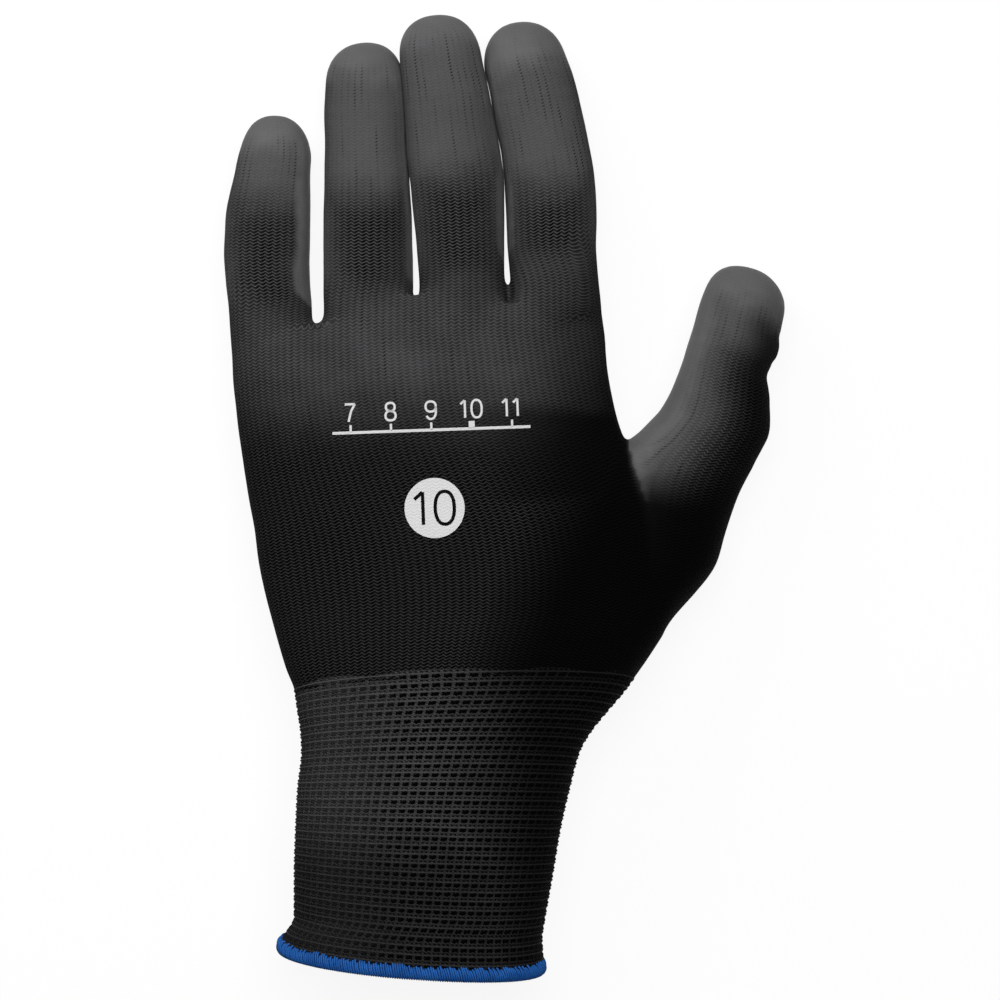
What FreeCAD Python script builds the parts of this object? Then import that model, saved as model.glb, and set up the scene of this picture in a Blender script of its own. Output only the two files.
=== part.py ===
import FreeCAD
import Part
import math
import os
import Sketcher

# A knitted work glove for the left hand, lying palm down. Millimetres and degrees.
# The frame: X runs to the thumb's side, Y towards the fingertips, Z out of the back of the hand.
# The origin is the middle of the palm's resting face.
# "along" is a place on Y, "across" on X and "up" on Z.

fabric = {
    "knit_wall": 1.2,        # thickness of the knitted liner
    "coat_thickness": 0.4,   # film on the palm side
    "print_thickness": 0.15,
    "fold_clearance": 0.3,   # between a stretch zone and the rigid knit beside it
    "back_fold": 2.6,        # half the length of a stretch zone on the back of a digit
    "coat_edge_up": 11.0,    # how high the palm's film climbs
    "coat_heel_along": -35.0,
    "digit_coat_edge": 2.2,  # the digits' film starts this far below their middle line
}

# Elliptic sections of the sleeve that runs from the hem to the finger roots.
sleeve = {
    "hem": {"along": -116.6, "across": -5.7, "up": 24.2, "width": 69.0, "depth": 44.0},
    "flare": {"along": -106.5, "across": -4.8, "up": 23.0, "width": 66.6, "depth": 43.0},
    "cuff": {"along": -90.0, "across": -2.9, "up": 22.6, "width": 68.0, "depth": 42.5},
    "forearm": {"along": -74.0, "across": -1.0, "up": 22.2, "width": 70.8, "depth": 42.0},
    "wrist": {"along": -57.0, "across": 1.6, "up": 21.4, "width": 73.4, "depth": 41.0},
    "heel": {"along": -39.5, "across": 6.4, "up": 20.0, "width": 89.2, "depth": 40.0},
    "base": {"along": -18.5, "across": 8.0, "up": 17.6, "width": 104.8, "depth": 37.6},
    "palm": {"along": 8.0, "across": 4.4, "up": 16.4, "width": 107.6, "depth": 34.6},
    "knuckle": {"along": 34.3, "across": -2.9, "up": 15.6, "width": 99.0, "depth": 31.0},
}
sleeve_order = ["hem", "flare", "cuff", "forearm", "wrist", "heel", "base", "palm", "knuckle"]

# The end of the palm, where the four fingers leave it. Its width follows from the fingers.
finger_line = {
    "across": -6.0,
    "along": 59.6,
    "up": 15.4,
    "depth": 26.0,
    "slant": 10.4,
    "finger_gap": 1.5,
    "little_gap": 3.7,
    "root_reach": 4.8,       # from that end to the bend of each finger
}

# Each digit: its root, then its middle joint, tip joint, pad and end, measured along it.
# "sideways" and "drop" carry its middle line off the straight line from the root.
digits = {
    "index": {
        "lean": 7.6, "twist": 0.0, "up": 15.0,
        "base_length": 22.2, "middle_length": 21.1, "tip_length": 20.3, "round_length": 12.2,
        "root_width": 23.2, "root_depth": 20.5,
        "middle_width": 23.0, "middle_depth": 20.0, "middle_sideways": 1.8, "middle_drop": 1.0,
        "tip_width": 22.2, "tip_depth": 18.0, "tip_sideways": 1.0, "tip_drop": 3.6,
        "pad_width": 21.6, "pad_depth": 17.0, "pad_sideways": 0.8, "pad_drop": 5.5,
        "end_drop": 6.9, "nail_length": 14.3, "bend": 70.0, "middle_bend": 80.0, "tip_bend": 40.0,
    },
    "middle": {
        "lean": 5.2, "twist": 0.0, "up": 15.6,
        "base_length": 26.7, "middle_length": 21.9, "tip_length": 20.6, "round_length": 12.4,
        "root_width": 22.7, "root_depth": 20.5,
        "middle_width": 23.0, "middle_depth": 20.4, "middle_sideways": 1.2, "middle_drop": 1.2,
        "tip_width": 22.0, "tip_depth": 18.4, "tip_sideways": 0.5, "tip_drop": 4.2,
        "pad_width": 21.2, "pad_depth": 17.2, "pad_sideways": 0.2, "pad_drop": 6.0,
        "end_drop": 7.5, "nail_length": 11.5, "bend": 70.0, "middle_bend": 80.0, "tip_bend": 40.0,
    },
    "ring": {
        "lean": 0.0, "twist": 0.0, "up": 15.4,
        "base_length": 27.2, "middle_length": 21.1, "tip_length": 18.2, "round_length": 10.9,
        "root_width": 23.2, "root_depth": 20.0,
        "middle_width": 22.2, "middle_depth": 19.6, "middle_sideways": -0.3, "middle_drop": 1.2,
        "tip_width": 20.7, "tip_depth": 17.6, "tip_sideways": -1.3, "tip_drop": 4.2,
        "pad_width": 19.8, "pad_depth": 16.4, "pad_sideways": -1.4, "pad_drop": 6.1,
        "end_drop": 7.4, "nail_length": 12.0, "bend": 70.0, "middle_bend": 80.0, "tip_bend": 40.0,
    },
    "little": {
        "lean": -1.6, "twist": 0.0, "up": 14.2,
        "base_length": 21.9, "middle_length": 15.8, "tip_length": 14.5, "round_length": 10.2,
        "root_width": 22.2, "root_depth": 18.6,
        "middle_width": 22.2, "middle_depth": 18.2, "middle_sideways": -0.7, "middle_drop": 1.0,
        "tip_width": 18.9, "tip_depth": 16.0, "tip_sideways": 0.4, "tip_drop": 3.6,
        "pad_width": 18.0, "pad_depth": 15.4, "pad_sideways": 0.5, "pad_drop": 4.6,
        "end_drop": 6.2, "nail_length": 8.5, "bend": 70.0, "middle_bend": 80.0, "tip_bend": 40.0,
    },
    "thumb": {
        "lean": -13.1, "twist": 50.0, "up": 15.0,
        "base_length": 0.0, "middle_length": 29.1, "tip_length": 22.1, "round_length": 11.0,
        "root_width": 27.6, "root_depth": 24.6,
        "middle_width": 27.6, "middle_depth": 24.6, "middle_sideways": 0.0, "middle_drop": 0.0,
        "tip_width": 23.6, "tip_depth": 21.2, "tip_sideways": 3.0, "tip_drop": 1.4,
        "pad_width": 21.2, "pad_depth": 18.4, "pad_sideways": 2.3, "pad_drop": 3.2,
        "end_drop": 4.4, "nail_length": 9.0, "bend": 35.0, "middle_bend": 0.0, "tip_bend": 60.0,
    },
}
fingers = ["index", "middle", "ring", "little"]
thumb_root = {"across": 69.2, "along": 19.8, "root_twist": 15.0, "cut_reach": 17.0}

# The ball of the thumb: elliptic sections from the heel of the hand to the thumb's root.
thumb_ball = {
    "start": {"along": -41.5, "across": 29.5, "up": 19.0, "width": 28.0, "depth": 26.0, "turn": -38.0},
    "swell": {"along": -11.1, "across": 51.8, "up": 15.0, "width": 34.8, "depth": 29.0, "turn": -27.4},
    "neck": {"along": 9.5, "across": 63.6, "up": 14.8, "width": 31.5, "depth": 26.4, "turn": -20.0},
}

cuff_details = {
    "wrist_swing": 40.0,     # how far the cuff bends each way
    "wrist_fold": 1.2,       # half the length of the stretch zone at the wrist's middle
    "rib_pitch": 2.2,
    "rib_thickness": 0.7,
    "rib_height": 0.45,
    "rib_start_along": -38.0,
    "hem_length": 3.4,
    "hem_height": 1.1,
    "hem_lining": 0.6,
    "hem_slant": 5.0,
    "knit_edge_setback": 0.9,
}

print_marks = {
    "disc_across": 0.0, "disc_along": 5.9, "disc_radius": 7.9,
    "scale_across": -0.8, "scale_along": 31.0, "scale_width": 52.0, "scale_height": 1.2,
}

rest_plate = {"reach": 260.0}  # big enough to cut the whole glove flat underneath

round_steps = [0.0, 30.0, 55.0, 72.0, 83.0]  # angles of the sections that round a digit's end


class Amount:
    """A value together with the sheet formula that gives it."""

    def __init__(self, value, text):
        self.value = value
        self.text = text

    def __add__(self, other):
        other = amount(other)
        return Amount(self.value + other.value, f"({self.text} + {other.text})")

    def __sub__(self, other):
        other = amount(other)
        return Amount(self.value - other.value, f"({self.text} - {other.text})")

    def __mul__(self, other):
        other = amount(other)
        return Amount(self.value * other.value, f"({self.text} * {other.text})")

    def __truediv__(self, other):
        other = amount(other)
        return Amount(self.value / other.value, f"({self.text} / {other.text})")

    def __neg__(self):
        return amount(0.0) - self


def amount(number):
    if isinstance(number, Amount):
        return number
    return Amount(float(number), f"{float(number)}")


def sine(angle):
    angle = amount(angle)
    return Amount(math.sin(math.radians(angle.value)), f"sin({angle.text})")


def cosine(angle):
    angle = amount(angle)
    return Amount(math.cos(math.radians(angle.value)), f"cos({angle.text})")


def tangent(angle):
    angle = amount(angle)
    return Amount(math.tan(math.radians(angle.value)), f"tan({angle.text})")


document = FreeCAD.newDocument("glove")
sheet = document.addObject("Spreadsheet::Sheet", "sizes")
sheet_row = 0


def enter(group, values):
    """Write a group of driving dimensions in the sheet and hand back their amounts."""
    global sheet_row
    entered = {}
    for name, value in values.items():
        sheet_row += 1
        alias = f"{group}_{name}"
        sheet.set(f"A{sheet_row}", alias)
        sheet.set(f"B{sheet_row}", str(value))
        sheet.setAlias(f"B{sheet_row}", alias)
        entered[name] = Amount(float(value), f"sizes.{alias}")
    return entered


fabric = enter("fabric", fabric)
sleeve = {name: enter(name, values) for name, values in sleeve.items()}
finger_line = enter("finger_line", finger_line)
digits = {name: enter(name, values) for name, values in digits.items()}
thumb_root = enter("thumb", thumb_root)
thumb_ball = {name: enter(f"ball_{name}", values) for name, values in thumb_ball.items()}
cuff_details = enter("cuff", cuff_details)
print_marks = enter("print", print_marks)
rest_plate = enter("plate", rest_plate)
document.recompute()

# Layers of the fabric, as how far each lies outside the knit's outer face.
inner_face = -fabric["knit_wall"]
outer_face = amount(0.0)
coated_face = fabric["coat_thickness"]
print_face = fabric["print_thickness"]
rib_face = cuff_details["rib_height"]
hem_face = cuff_details["hem_height"]
hem_lining_face = -(fabric["knit_wall"] + cuff_details["hem_lining"])


def bind(thing, **amounts):
    for name, value in amounts.items():
        thing.setExpression(name, amount(value).text)


def place(thing, across, along, up, yaw=0.0, pitch=0.0, roll=0.0):
    spot = f"vector({amount(across).text}; {amount(along).text}; {amount(up).text})"
    turn = f"rotation({amount(yaw).text}; {amount(pitch).text}; {amount(roll).text})"
    thing.setExpression("Placement", f"placement({spot}; {turn})")


def oval(name, width, depth, face, x, y, z, pitch=0.0):
    """An elliptic section, square to Z, drawn the right way round whichever size is larger."""
    ring = document.addObject("Part::Ellipse", name)
    half_width = width / 2 + face
    half_depth = depth / 2 + face
    ring.setExpression("MajorRadius", f"max({half_width.text}; {half_depth.text})")
    ring.setExpression("MinorRadius", f"min({half_width.text}; {half_depth.text})")
    turn = Amount(0.0, f"({width.text} >= {depth.text} ? 0 : 90)")
    place(ring, x, y, z, turn, pitch, 0.0)
    return ring


def loft(name, sections):
    solid = document.addObject("Part::Loft", name)
    solid.Sections = sections
    solid.Solid = True
    solid.Ruled = True
    return solid


def common(name, first, second):
    result = document.addObject("Part::Common", name)
    result.Base = first
    result.Tool = second
    result.Refine = False
    return result


def cut(name, first, second):
    result = document.addObject("Part::Cut", name)
    result.Base = first
    result.Tool = second
    result.Refine = False
    return result


def fuse(name, shapes):
    result = document.addObject("Part::MultiFuse", name)
    result.Shapes = shapes
    result.Refine = False
    return result


def group(name, shapes):
    result = document.addObject("Part::Compound", name)
    result.Links = shapes
    return result


def prism(name, outline, half_width):
    """A prism along X over an outline of (y, z) amounts."""
    sketch = document.addObject("Sketcher::SketchObject", f"{name}_outline")
    corners = [FreeCAD.Vector(y.value, z.value, 0) for y, z in outline]
    count = len(corners)
    for number in range(count):
        side = Part.LineSegment(corners[number], corners[(number + 1) % count])
        sketch.addGeometry(side, False)
    for number in range(count):
        sketch.addConstraint(Sketcher.Constraint("Coincident", number, 2, (number + 1) % count, 1))
    for number, (y, z) in enumerate(outline):
        for kind, value in (("DistanceX", y), ("DistanceY", z)):
            index = sketch.addConstraint(Sketcher.Constraint(kind, -1, 1, number, 1, value.value))
            sketch.renameConstraint(index, f"{kind}_{number}")
            sketch.setExpression(f"Constraints.{kind}_{number}", value.text)
    # Sketch X becomes Y, sketch Y becomes Z and the sketch's normal becomes X.
    sketch.Placement = FreeCAD.Placement(FreeCAD.Vector(), FreeCAD.Rotation(FreeCAD.Vector(1, 1, 1), 120))
    solid = document.addObject("Part::Extrusion", name)
    solid.Base = sketch
    solid.DirMode = "Custom"
    solid.Dir = FreeCAD.Vector(1, 0, 0)
    solid.Symmetric = True
    solid.Solid = True
    bind(solid, LengthFwd=half_width * 2)
    return solid


# ---- The sleeve: cuff, wrist and palm as one tapering tube ----

def add_up(amounts):
    total = amounts[0]
    for one in amounts[1:]:
        total = total + one
    return total


# Fingers sit side by side along the slanted finger line, from the thumb's side outwards.
root_widths = {name: digits[name]["root_width"] for name in fingers}
gap_before = {
    "middle": finger_line["finger_gap"],
    "ring": finger_line["finger_gap"],
    "little": finger_line["little_gap"],
}
fingers_width = add_up(list(root_widths.values()) + list(gap_before.values()))

root_places = {}
edge = finger_line["across"] + fingers_width / 2
for name in fingers:
    edge = edge - gap_before.get(name, amount(0.0))
    root_across = edge - root_widths[name] / 2
    edge = edge - root_widths[name]
    rise = (root_across - finger_line["across"]) * tangent(finger_line["slant"])
    root_along = finger_line["along"] + rise + finger_line["root_reach"]
    root_places[name] = (root_across, root_along)
root_places["thumb"] = (thumb_root["across"], thumb_root["along"])


def sleeve_loft(name, face, reach_past_hem=0.0, stop_at="finger line"):
    """The sleeve in its own frame: Z along the arm, Y towards the palm."""
    sections = []
    for station in sleeve_order:
        size = sleeve[station]
        along = size["along"]
        pitch = 0.0
        if station == "hem":
            along = along - reach_past_hem
            pitch = cuff_details["hem_slant"]
        section = oval(f"{name}_{station}", size["width"], size["depth"], face,
                       size["across"], -size["up"], along, pitch)
        sections.append(section)
    end_width = fingers_width / cosine(finger_line["slant"])
    sections.append(oval(f"{name}_end", end_width, finger_line["depth"], face,
                         finger_line["across"], -finger_line["up"],
                         finger_line["along"] + face, -finger_line["slant"]))
    solid = loft(name, sections)
    place(solid, 0.0, 0.0, 0.0, 0.0, 0.0, -90.0)
    return solid


def ball_loft(name, face):
    """The ball of the thumb, ending in the thumb's own root section just past its bend."""
    sections = []
    for station, size in thumb_ball.items():
        sections.append(oval(f"{name}_{station}", size["width"], size["depth"], face,
                             size["across"], -size["up"], size["along"], -size["turn"]))
    thumb = digits["thumb"]
    past_bend = fabric["back_fold"] * 2
    across, along = root_places["thumb"]
    sections.append(oval(f"{name}_root", thumb["root_width"], thumb["root_depth"], face,
                         across - past_bend * sine(thumb["lean"]), -thumb["up"],
                         along + past_bend * cosine(thumb["lean"]), -thumb["lean"]))
    solid = loft(name, sections)
    place(solid, 0.0, 0.0, 0.0, 0.0, 0.0, -90.0)
    return solid


# ---- Digits, each in its own frame: Z along it, Y towards its pad, X across it ----

def put_on_hand(thing, name, twist=None):
    across, along = root_places[name]
    size = digits[name]
    place(thing, across, along, size["up"], size["lean"], twist or size["twist"], -90.0)


def spine_offset(name, sideways, drop, twist=None):
    """Turn a sideways and downward shift in the glove's frame into the digit's own X and Y."""
    turn = twist or digits[name]["twist"]
    x = sideways * cosine(turn) + drop * sine(turn)
    y = drop * cosine(turn) - sideways * sine(turn)
    return x, y


def digit_length(name):
    size = digits[name]
    return size["base_length"] + size["middle_length"] + size["tip_length"]


def digit_loft(name, layer, face):
    size = digits[name]
    title = f"{name}_{layer}"
    level = amount(0.0)
    start = oval(f"{title}_start", size["root_width"], size["root_depth"], face, level, level,
                 -(fabric["back_fold"] * 5))
    root = oval(f"{title}_root", size["root_width"], size["root_depth"], face, level, level, level)
    sections = [start, root]
    along = level
    stations = [("middle", "base_length"), ("tip", "middle_length")]
    if name == "thumb":
        stations = [("tip", "middle_length")]
    for station, length in stations:
        along = along + size[length]
        x, y = spine_offset(name, size[f"{station}_sideways"], size[f"{station}_drop"])
        sections.append(oval(f"{title}_{station}", size[f"{station}_width"], size[f"{station}_depth"],
                             face, x, y, along))
    round_start = digit_length(name) - size["round_length"]
    for step in round_steps:
        share = sine(step)
        shrink = cosine(step)
        sideways = size["pad_sideways"] * (amount(1.0) - share)
        drop = size["pad_drop"] + (size["end_drop"] - size["pad_drop"]) * share
        x, y = spine_offset(name, sideways, drop)
        reach = (size["round_length"] + face) * share
        ring = oval(f"{title}_round_{int(step)}",
                    (size["pad_width"] + face * 2) * shrink, (size["pad_depth"] + face * 2) * shrink,
                    amount(0.0), x, y, round_start + reach)
        sections.append(ring)
    solid = loft(title, sections)
    put_on_hand(solid, name)
    stub = loft(f"{title}_stub", [start, root])
    put_on_hand(stub, name)
    return solid, stub


far = rest_plate["reach"] / 2


class Bend:
    """The stretch zone round one hinge of a digit, and the regions before and after it."""

    def __init__(self, digit, joint, along, sideways, drop, depth, angle, twist=None):
        self.title = f"{digit}_{joint}"
        self.digit = digit
        self.twist = twist
        self.along = along
        self.x, self.y = spine_offset(digit, sideways, drop, twist)
        self.half_depth = depth / 2 + fabric["coat_thickness"]
        self.back = fabric["back_fold"]
        closing = self.half_depth * tangent(angle / 2) + fabric["fold_clearance"]
        self.slope = (closing - self.back) / self.half_depth

    def edge(self, side, inset):
        """The zone's edge on one side (1 past the hinge, -1 before it), as three corners."""
        pad = self.y + far
        back = self.y - far
        half = self.back - inset
        bottom = half + self.slope * far
        return [(back, self.along + half * side),
                (self.y, self.along + half * side),
                (pad, self.along + bottom * side)]

    def region(self, name, side, half_width):
        """Everything on one side of the zone."""
        corners = self.edge(side, amount(0.0))
        end = self.along + far * 3 * side
        corners = corners + [(self.y + far, end), (self.y - far, end)]
        solid = prism(f"{self.title}_{name}", corners, half_width)
        put_on_hand(solid, self.digit, self.twist)
        return solid

    def rest(self, name, half_width):
        """The zone together with everything past it."""
        end = self.along + far * 3
        corners = self.edge(-1, amount(0.0)) + [(self.y + far, end), (self.y - far, end)]
        solid = prism(f"{self.title}_{name}", corners, half_width)
        put_on_hand(solid, self.digit, self.twist)
        return solid

    def zone(self, name, inset, half_width):
        before = self.edge(-1, inset)
        after = self.edge(1, inset)
        solid = prism(f"{self.title}_{name}", before + after[::-1], half_width)
        put_on_hand(solid, self.digit, self.twist)
        return solid


def bends_of(name):
    size = digits[name]
    none = amount(0.0)
    if name == "thumb":
        root_twist = thumb_root["root_twist"]
        return {
            "root": Bend(name, "root", none, none, none, size["root_depth"], size["bend"], root_twist),
            "tip": Bend(name, "tip", size["middle_length"], size["tip_sideways"], size["tip_drop"],
                        size["tip_depth"], size["tip_bend"]),
        }
    tip_along = size["base_length"] + size["middle_length"]
    return {
        "root": Bend(name, "root", none, none, none, size["root_depth"], size["bend"]),
        "middle": Bend(name, "middle", size["base_length"], size["middle_sideways"],
                       size["middle_drop"], size["middle_depth"], size["middle_bend"]),
        "tip": Bend(name, "tip", tip_along, size["tip_sideways"], size["tip_drop"],
                    size["tip_depth"], size["tip_bend"]),
    }


kept = []


def keep(thing, label):
    thing.Label = label
    kept.append(thing)
    return thing


layers = {"inside": inner_face, "outside": outer_face, "coated": coated_face}
digit_shapes = {}
stubs = {}
bends = {}
for name in digits:
    digit_shapes[name] = {}
    stubs[name] = {}
    for layer, face in layers.items():
        digit_shapes[name][layer], stubs[name][layer] = digit_loft(name, layer, face)
    bends[name] = bends_of(name)


def half_reach(name):
    """Half the width of a cutter that spans one digit and nothing beside it."""
    return digits[name]["root_width"] / 2 + finger_line["finger_gap"] / 2


def coat_region(name):
    """The pad side of a digit all along, and the whole of its end past the nail line."""
    size = digits[name]
    length = digit_length(name)
    x, y = spine_offset(name, size["tip_sideways"], size["tip_drop"])
    line = fabric["digit_coat_edge"]
    nail = length - size["nail_length"]
    outline = [(line, -far), (far, -far), (far, length + far), (-far, length + far),
               (-far, nail), (y + line, nail)]
    solid = prism(f"{name}_coat_region", outline, far)
    put_on_hand(solid, name)
    return solid


# ---- Digit segments ----

def make_digit(name):
    shapes = digit_shapes[name]
    knit = cut(f"{name}_knit_tube", shapes["outside"], shapes["inside"])
    film = common(f"{name}_film_solid", shapes["coated"], coat_region(name))
    film = cut(f"{name}_film", film, shapes["outside"])
    joints = list(bends[name])
    for number, joint in enumerate(joints):
        bend = bends[name][joint]
        segment = "base" if number == 0 else joint
        after = bend.region("after", 1, far)
        knit_piece = common(f"{name}_{segment}_knit_open", knit, after)
        film_piece = common(f"{name}_{segment}_film_open", film, after)
        if number + 1 < len(joints):
            before = bends[name][joints[number + 1]].region("before", -1, far)
            knit_piece = common(f"{name}_{segment}_knit_part", knit_piece, before)
            film_piece = common(f"{name}_{segment}_film_part", film_piece, before)
        keep(knit_piece, f"{name}_{segment}_knit")
        keep(film_piece, f"{name}_{segment}_coating")
        zone = bend.zone("zone", fabric["fold_clearance"], half_reach(name))
        if number > 0:
            zone = bend.zone("wide_zone", fabric["fold_clearance"], far)
        keep(common(f"{name}_{joint}_stretch_part", knit, zone), f"{name}_{joint}_stretch_zone")


for name in digits:
    make_digit(name)


# ---- The hand: palm, ball of the thumb and finger stubs as one hollow shell ----

def above(name, height):
    """A block that holds everything above a height."""
    block = document.addObject("Part::Box", name)
    bind(block, Length=rest_plate["reach"] * 2, Width=rest_plate["reach"] * 2,
         Height=rest_plate["reach"])
    place(block, -rest_plate["reach"], -rest_plate["reach"], height)
    return block


def wrist_corners(side, inset):
    """The edge of the wrist's stretch zone: narrow at mid height, wide at the back and palm."""
    size = sleeve["wrist"]
    middle = cuff_details["wrist_fold"] - inset
    slope = tangent(cuff_details["wrist_swing"] / 2)
    reach = middle + slope * far
    return [(size["up"] + far, size["along"] + reach * side),
            (size["up"], size["along"] + middle * side),
            (size["up"] - far, size["along"] + reach * side)]


def wrist_prism(name, corners):
    """A prism across the whole wrist over (up, along) corners."""
    outline = [(-up, along) for up, along in corners]
    solid = prism(name, outline, far)
    place(solid, 0.0, 0.0, 0.0, 0.0, 0.0, -90.0)
    return solid


def wrist_side(name, side):
    corners = wrist_corners(side, amount(0.0))
    end = sleeve["wrist"]["along"] + far * 3 * side
    corners = corners + [(sleeve["wrist"]["up"] - far, end), (sleeve["wrist"]["up"] + far, end)]
    return wrist_prism(name, corners)


hand_side = wrist_side("hand_side", 1)
cuff_side = wrist_side("cuff_side", -1)
inset = fabric["fold_clearance"]
wrist_zone = wrist_prism("wrist_zone", wrist_corners(-1, inset) + wrist_corners(1, inset)[::-1])

open_end = fabric["knit_wall"] * 2
sleeve_shapes = {
    "inside": sleeve_loft("sleeve_inside", inner_face, open_end),
    "outside": sleeve_loft("sleeve_outside", outer_face),
    "coated": sleeve_loft("sleeve_coated", coated_face),
    "printed": sleeve_loft("sleeve_printed", print_face),
    "ribbed": sleeve_loft("sleeve_ribbed", rib_face),
}
ball_shapes = {
    "inside": ball_loft("ball_inside", inner_face),
    "outside": ball_loft("ball_outside", outer_face),
    "coated": ball_loft("ball_coated", coated_face),
}


root_cuts = []
for name in fingers:
    root_cuts.append(bends[name]["root"].zone("root_cut", amount(0.0), half_reach(name)))
root_cuts.append(bends["thumb"]["root"].rest("root_cut", thumb_root["cut_reach"]))
root_cutter = fuse("root_cutter", root_cuts)


def hand_layer(layer):
    """Palm, ball of the thumb and finger stubs in one layer."""
    parts = [sleeve_shapes[layer], ball_shapes[layer]] + [stubs[name][layer] for name in fingers]
    return fuse(f"hand_{layer}_whole", parts)


hand_inside = common("hand_inside", hand_layer("inside"),
                     above("above_inside", fabric["coat_thickness"] + fabric["knit_wall"]))
hand_outside = common("hand_outside", hand_layer("outside"),
                      above("above_outside", fabric["coat_thickness"]))
hand_solid = cut("hand_solid", common("hand_trimmed", hand_outside, hand_side), root_cutter)
keep(cut("hand_knit_part", hand_solid, hand_inside), "hand_knit")

# The palm's film starts at the resting face and stops at its edge height and at the heel.
film_block = document.addObject("Part::Box", "film_block")
bind(film_block, Length=rest_plate["reach"] * 2, Width=rest_plate["reach"],
     Height=fabric["coat_edge_up"])
place(film_block, -rest_plate["reach"], fabric["coat_heel_along"], 0.0)
above_knit = above("above_knit", fabric["coat_thickness"])
palm_above = common("palm_above", sleeve_shapes["outside"], above_knit)
ball_above = common("ball_above", ball_shapes["outside"], above_knit)

palm_film_solid = common("palm_film_solid", sleeve_shapes["coated"], film_block)
palm_film = cut("palm_film_wall", palm_film_solid, palm_above)
palm_film = cut("palm_film_beside_ball", palm_film, ball_above)
palm_film = cut("palm_film_with_bends", palm_film, root_cutter)

ball_film = common("ball_film_solid", ball_shapes["coated"], film_block)
ball_film = cut("ball_film_wall", ball_film, ball_above)
ball_film = cut("ball_film_beside_palm", ball_film, palm_film_solid)
ball_film = cut("ball_film_with_bends", ball_film, root_cutter)

for name in fingers:
    palm_film = cut(f"palm_film_beside_{name}", palm_film, stubs[name]["outside"])
keep(palm_film, "palm_coating")
keep(ball_film, "thumb_ball_coating")

# ---- The cuff ----

hem_zone = document.addObject("Part::Box", "hem_zone")
bind(hem_zone, Length=rest_plate["reach"], Width=cuff_details["hem_length"] * 4,
     Height=rest_plate["reach"])
hem_turn = -cuff_details["hem_slant"]


def along_hem(block, reach):
    """Stand a block across the arm, its far face this much above the slanted hem line."""
    hem = sleeve["hem"]
    back = cuff_details["hem_length"] * 4 - reach
    across = hem["across"] - far * cosine(hem_turn) + back * sine(hem_turn)
    along = hem["along"] - far * sine(hem_turn) - back * cosine(hem_turn)
    place(block, across, along, -far, hem_turn)


along_hem(hem_zone, cuff_details["hem_length"])
knit_edge_zone = document.addObject("Part::Box", "knit_edge_zone")
bind(knit_edge_zone, Length=rest_plate["reach"], Width=cuff_details["hem_length"] * 4,
     Height=rest_plate["reach"])
along_hem(knit_edge_zone, cuff_details["knit_edge_setback"])

sleeve_wall = cut("sleeve_wall", sleeve_shapes["outside"], sleeve_shapes["inside"])
cuff_wall = cut("cuff_wall", sleeve_wall, knit_edge_zone)
cuff_knit = keep(common("cuff_knit_part", cuff_wall, cuff_side), "cuff_knit")
keep(common("wrist_zone_part", sleeve_wall, wrist_zone), "wrist_stretch_zone")

hem_outside = sleeve_loft("hem_outside", hem_face)
hem_inside = sleeve_loft("hem_inside", hem_lining_face, open_end)
hem_ring = common("hem_ring", cut("hem_wall", hem_outside, hem_inside), hem_zone)
keep(cut("cuff_hem_part", hem_ring, cuff_knit), "cuff_hem")


def rib_rings(title, first, count):
    """Raised elastic courses: thin slabs of a skin that lies on the sleeve."""
    slabs = []
    for number in range(count):
        slab = document.addObject("Part::Box", f"{title}_slab_{number}")
        bind(slab, Length=rest_plate["reach"], Width=cuff_details["rib_thickness"],
             Height=rest_plate["reach"])
        along = first - cuff_details["rib_pitch"] * number
        place(slab, -far, along, -far)
        slabs.append(slab)
    skin = cut(f"{title}_skin", sleeve_shapes["ribbed"], sleeve_shapes["outside"])
    skin = cut(f"{title}_beside_ball", skin, ball_shapes["outside"])
    return common(f"{title}_rings", skin, group(f"{title}_slabs", slabs))


# Ribs start just under the knit of the hand. Those at the wrist's stretch zone are part of it.
wrist_rib_count = 4
first_cuff_rib = 14
last_cuff_rib = 33
keep(rib_rings("wrist_elastic", cuff_details["rib_start_along"], wrist_rib_count), "wrist_elastic")
cuff_rib_along = cuff_details["rib_start_along"] - cuff_details["rib_pitch"] * first_cuff_rib
keep(rib_rings("cuff_elastic", cuff_rib_along, last_cuff_rib - first_cuff_rib), "cuff_elastic")

# ---- The printed size mark on the back of the hand ----

disc = document.addObject("Part::Cylinder", "print_disc")
bind(disc, Radius=print_marks["disc_radius"], Height=far)
place(disc, print_marks["disc_across"], print_marks["disc_along"], sleeve["palm"]["up"])
scale_bar = document.addObject("Part::Box", "print_scale_bar")
bind(scale_bar, Length=print_marks["scale_width"], Width=print_marks["scale_height"], Height=far)
place(scale_bar, print_marks["scale_across"] - print_marks["scale_width"] / 2,
      print_marks["scale_along"], sleeve["palm"]["up"])
print_skin = cut("print_skin", sleeve_shapes["printed"], sleeve_shapes["outside"])
keep(common("size_print_part", print_skin, group("print_shapes", [disc, scale_bar])), "size_print")

document.recompute()

# ---- Test every object, then write one file for each piece ----

for thing in document.Objects:
    if "Invalid" in thing.State or "Error" in thing.State:
        raise RuntimeError(f"{thing.Name} failed: {thing.State}")
for thing in kept:
    if thing.Shape.isNull() or not thing.Shape.isValid() or not thing.Shape.Solids:
        raise RuntimeError(f"{thing.Label} has no valid solid")

os.makedirs("parts", exist_ok=True)
for thing in kept:
    thing.Shape.exportStep(os.path.join("parts", f"{thing.Label}.step"))
    print(f"{thing.Label}: {len(thing.Shape.Solids)} solids, {thing.Shape.Volume:.1f} mm3")
print(f"{len(kept)} pieces written")
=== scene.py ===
import bpy
import math
import numpy as np
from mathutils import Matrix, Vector
from mathutils.bvhtree import BVHTree


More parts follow.
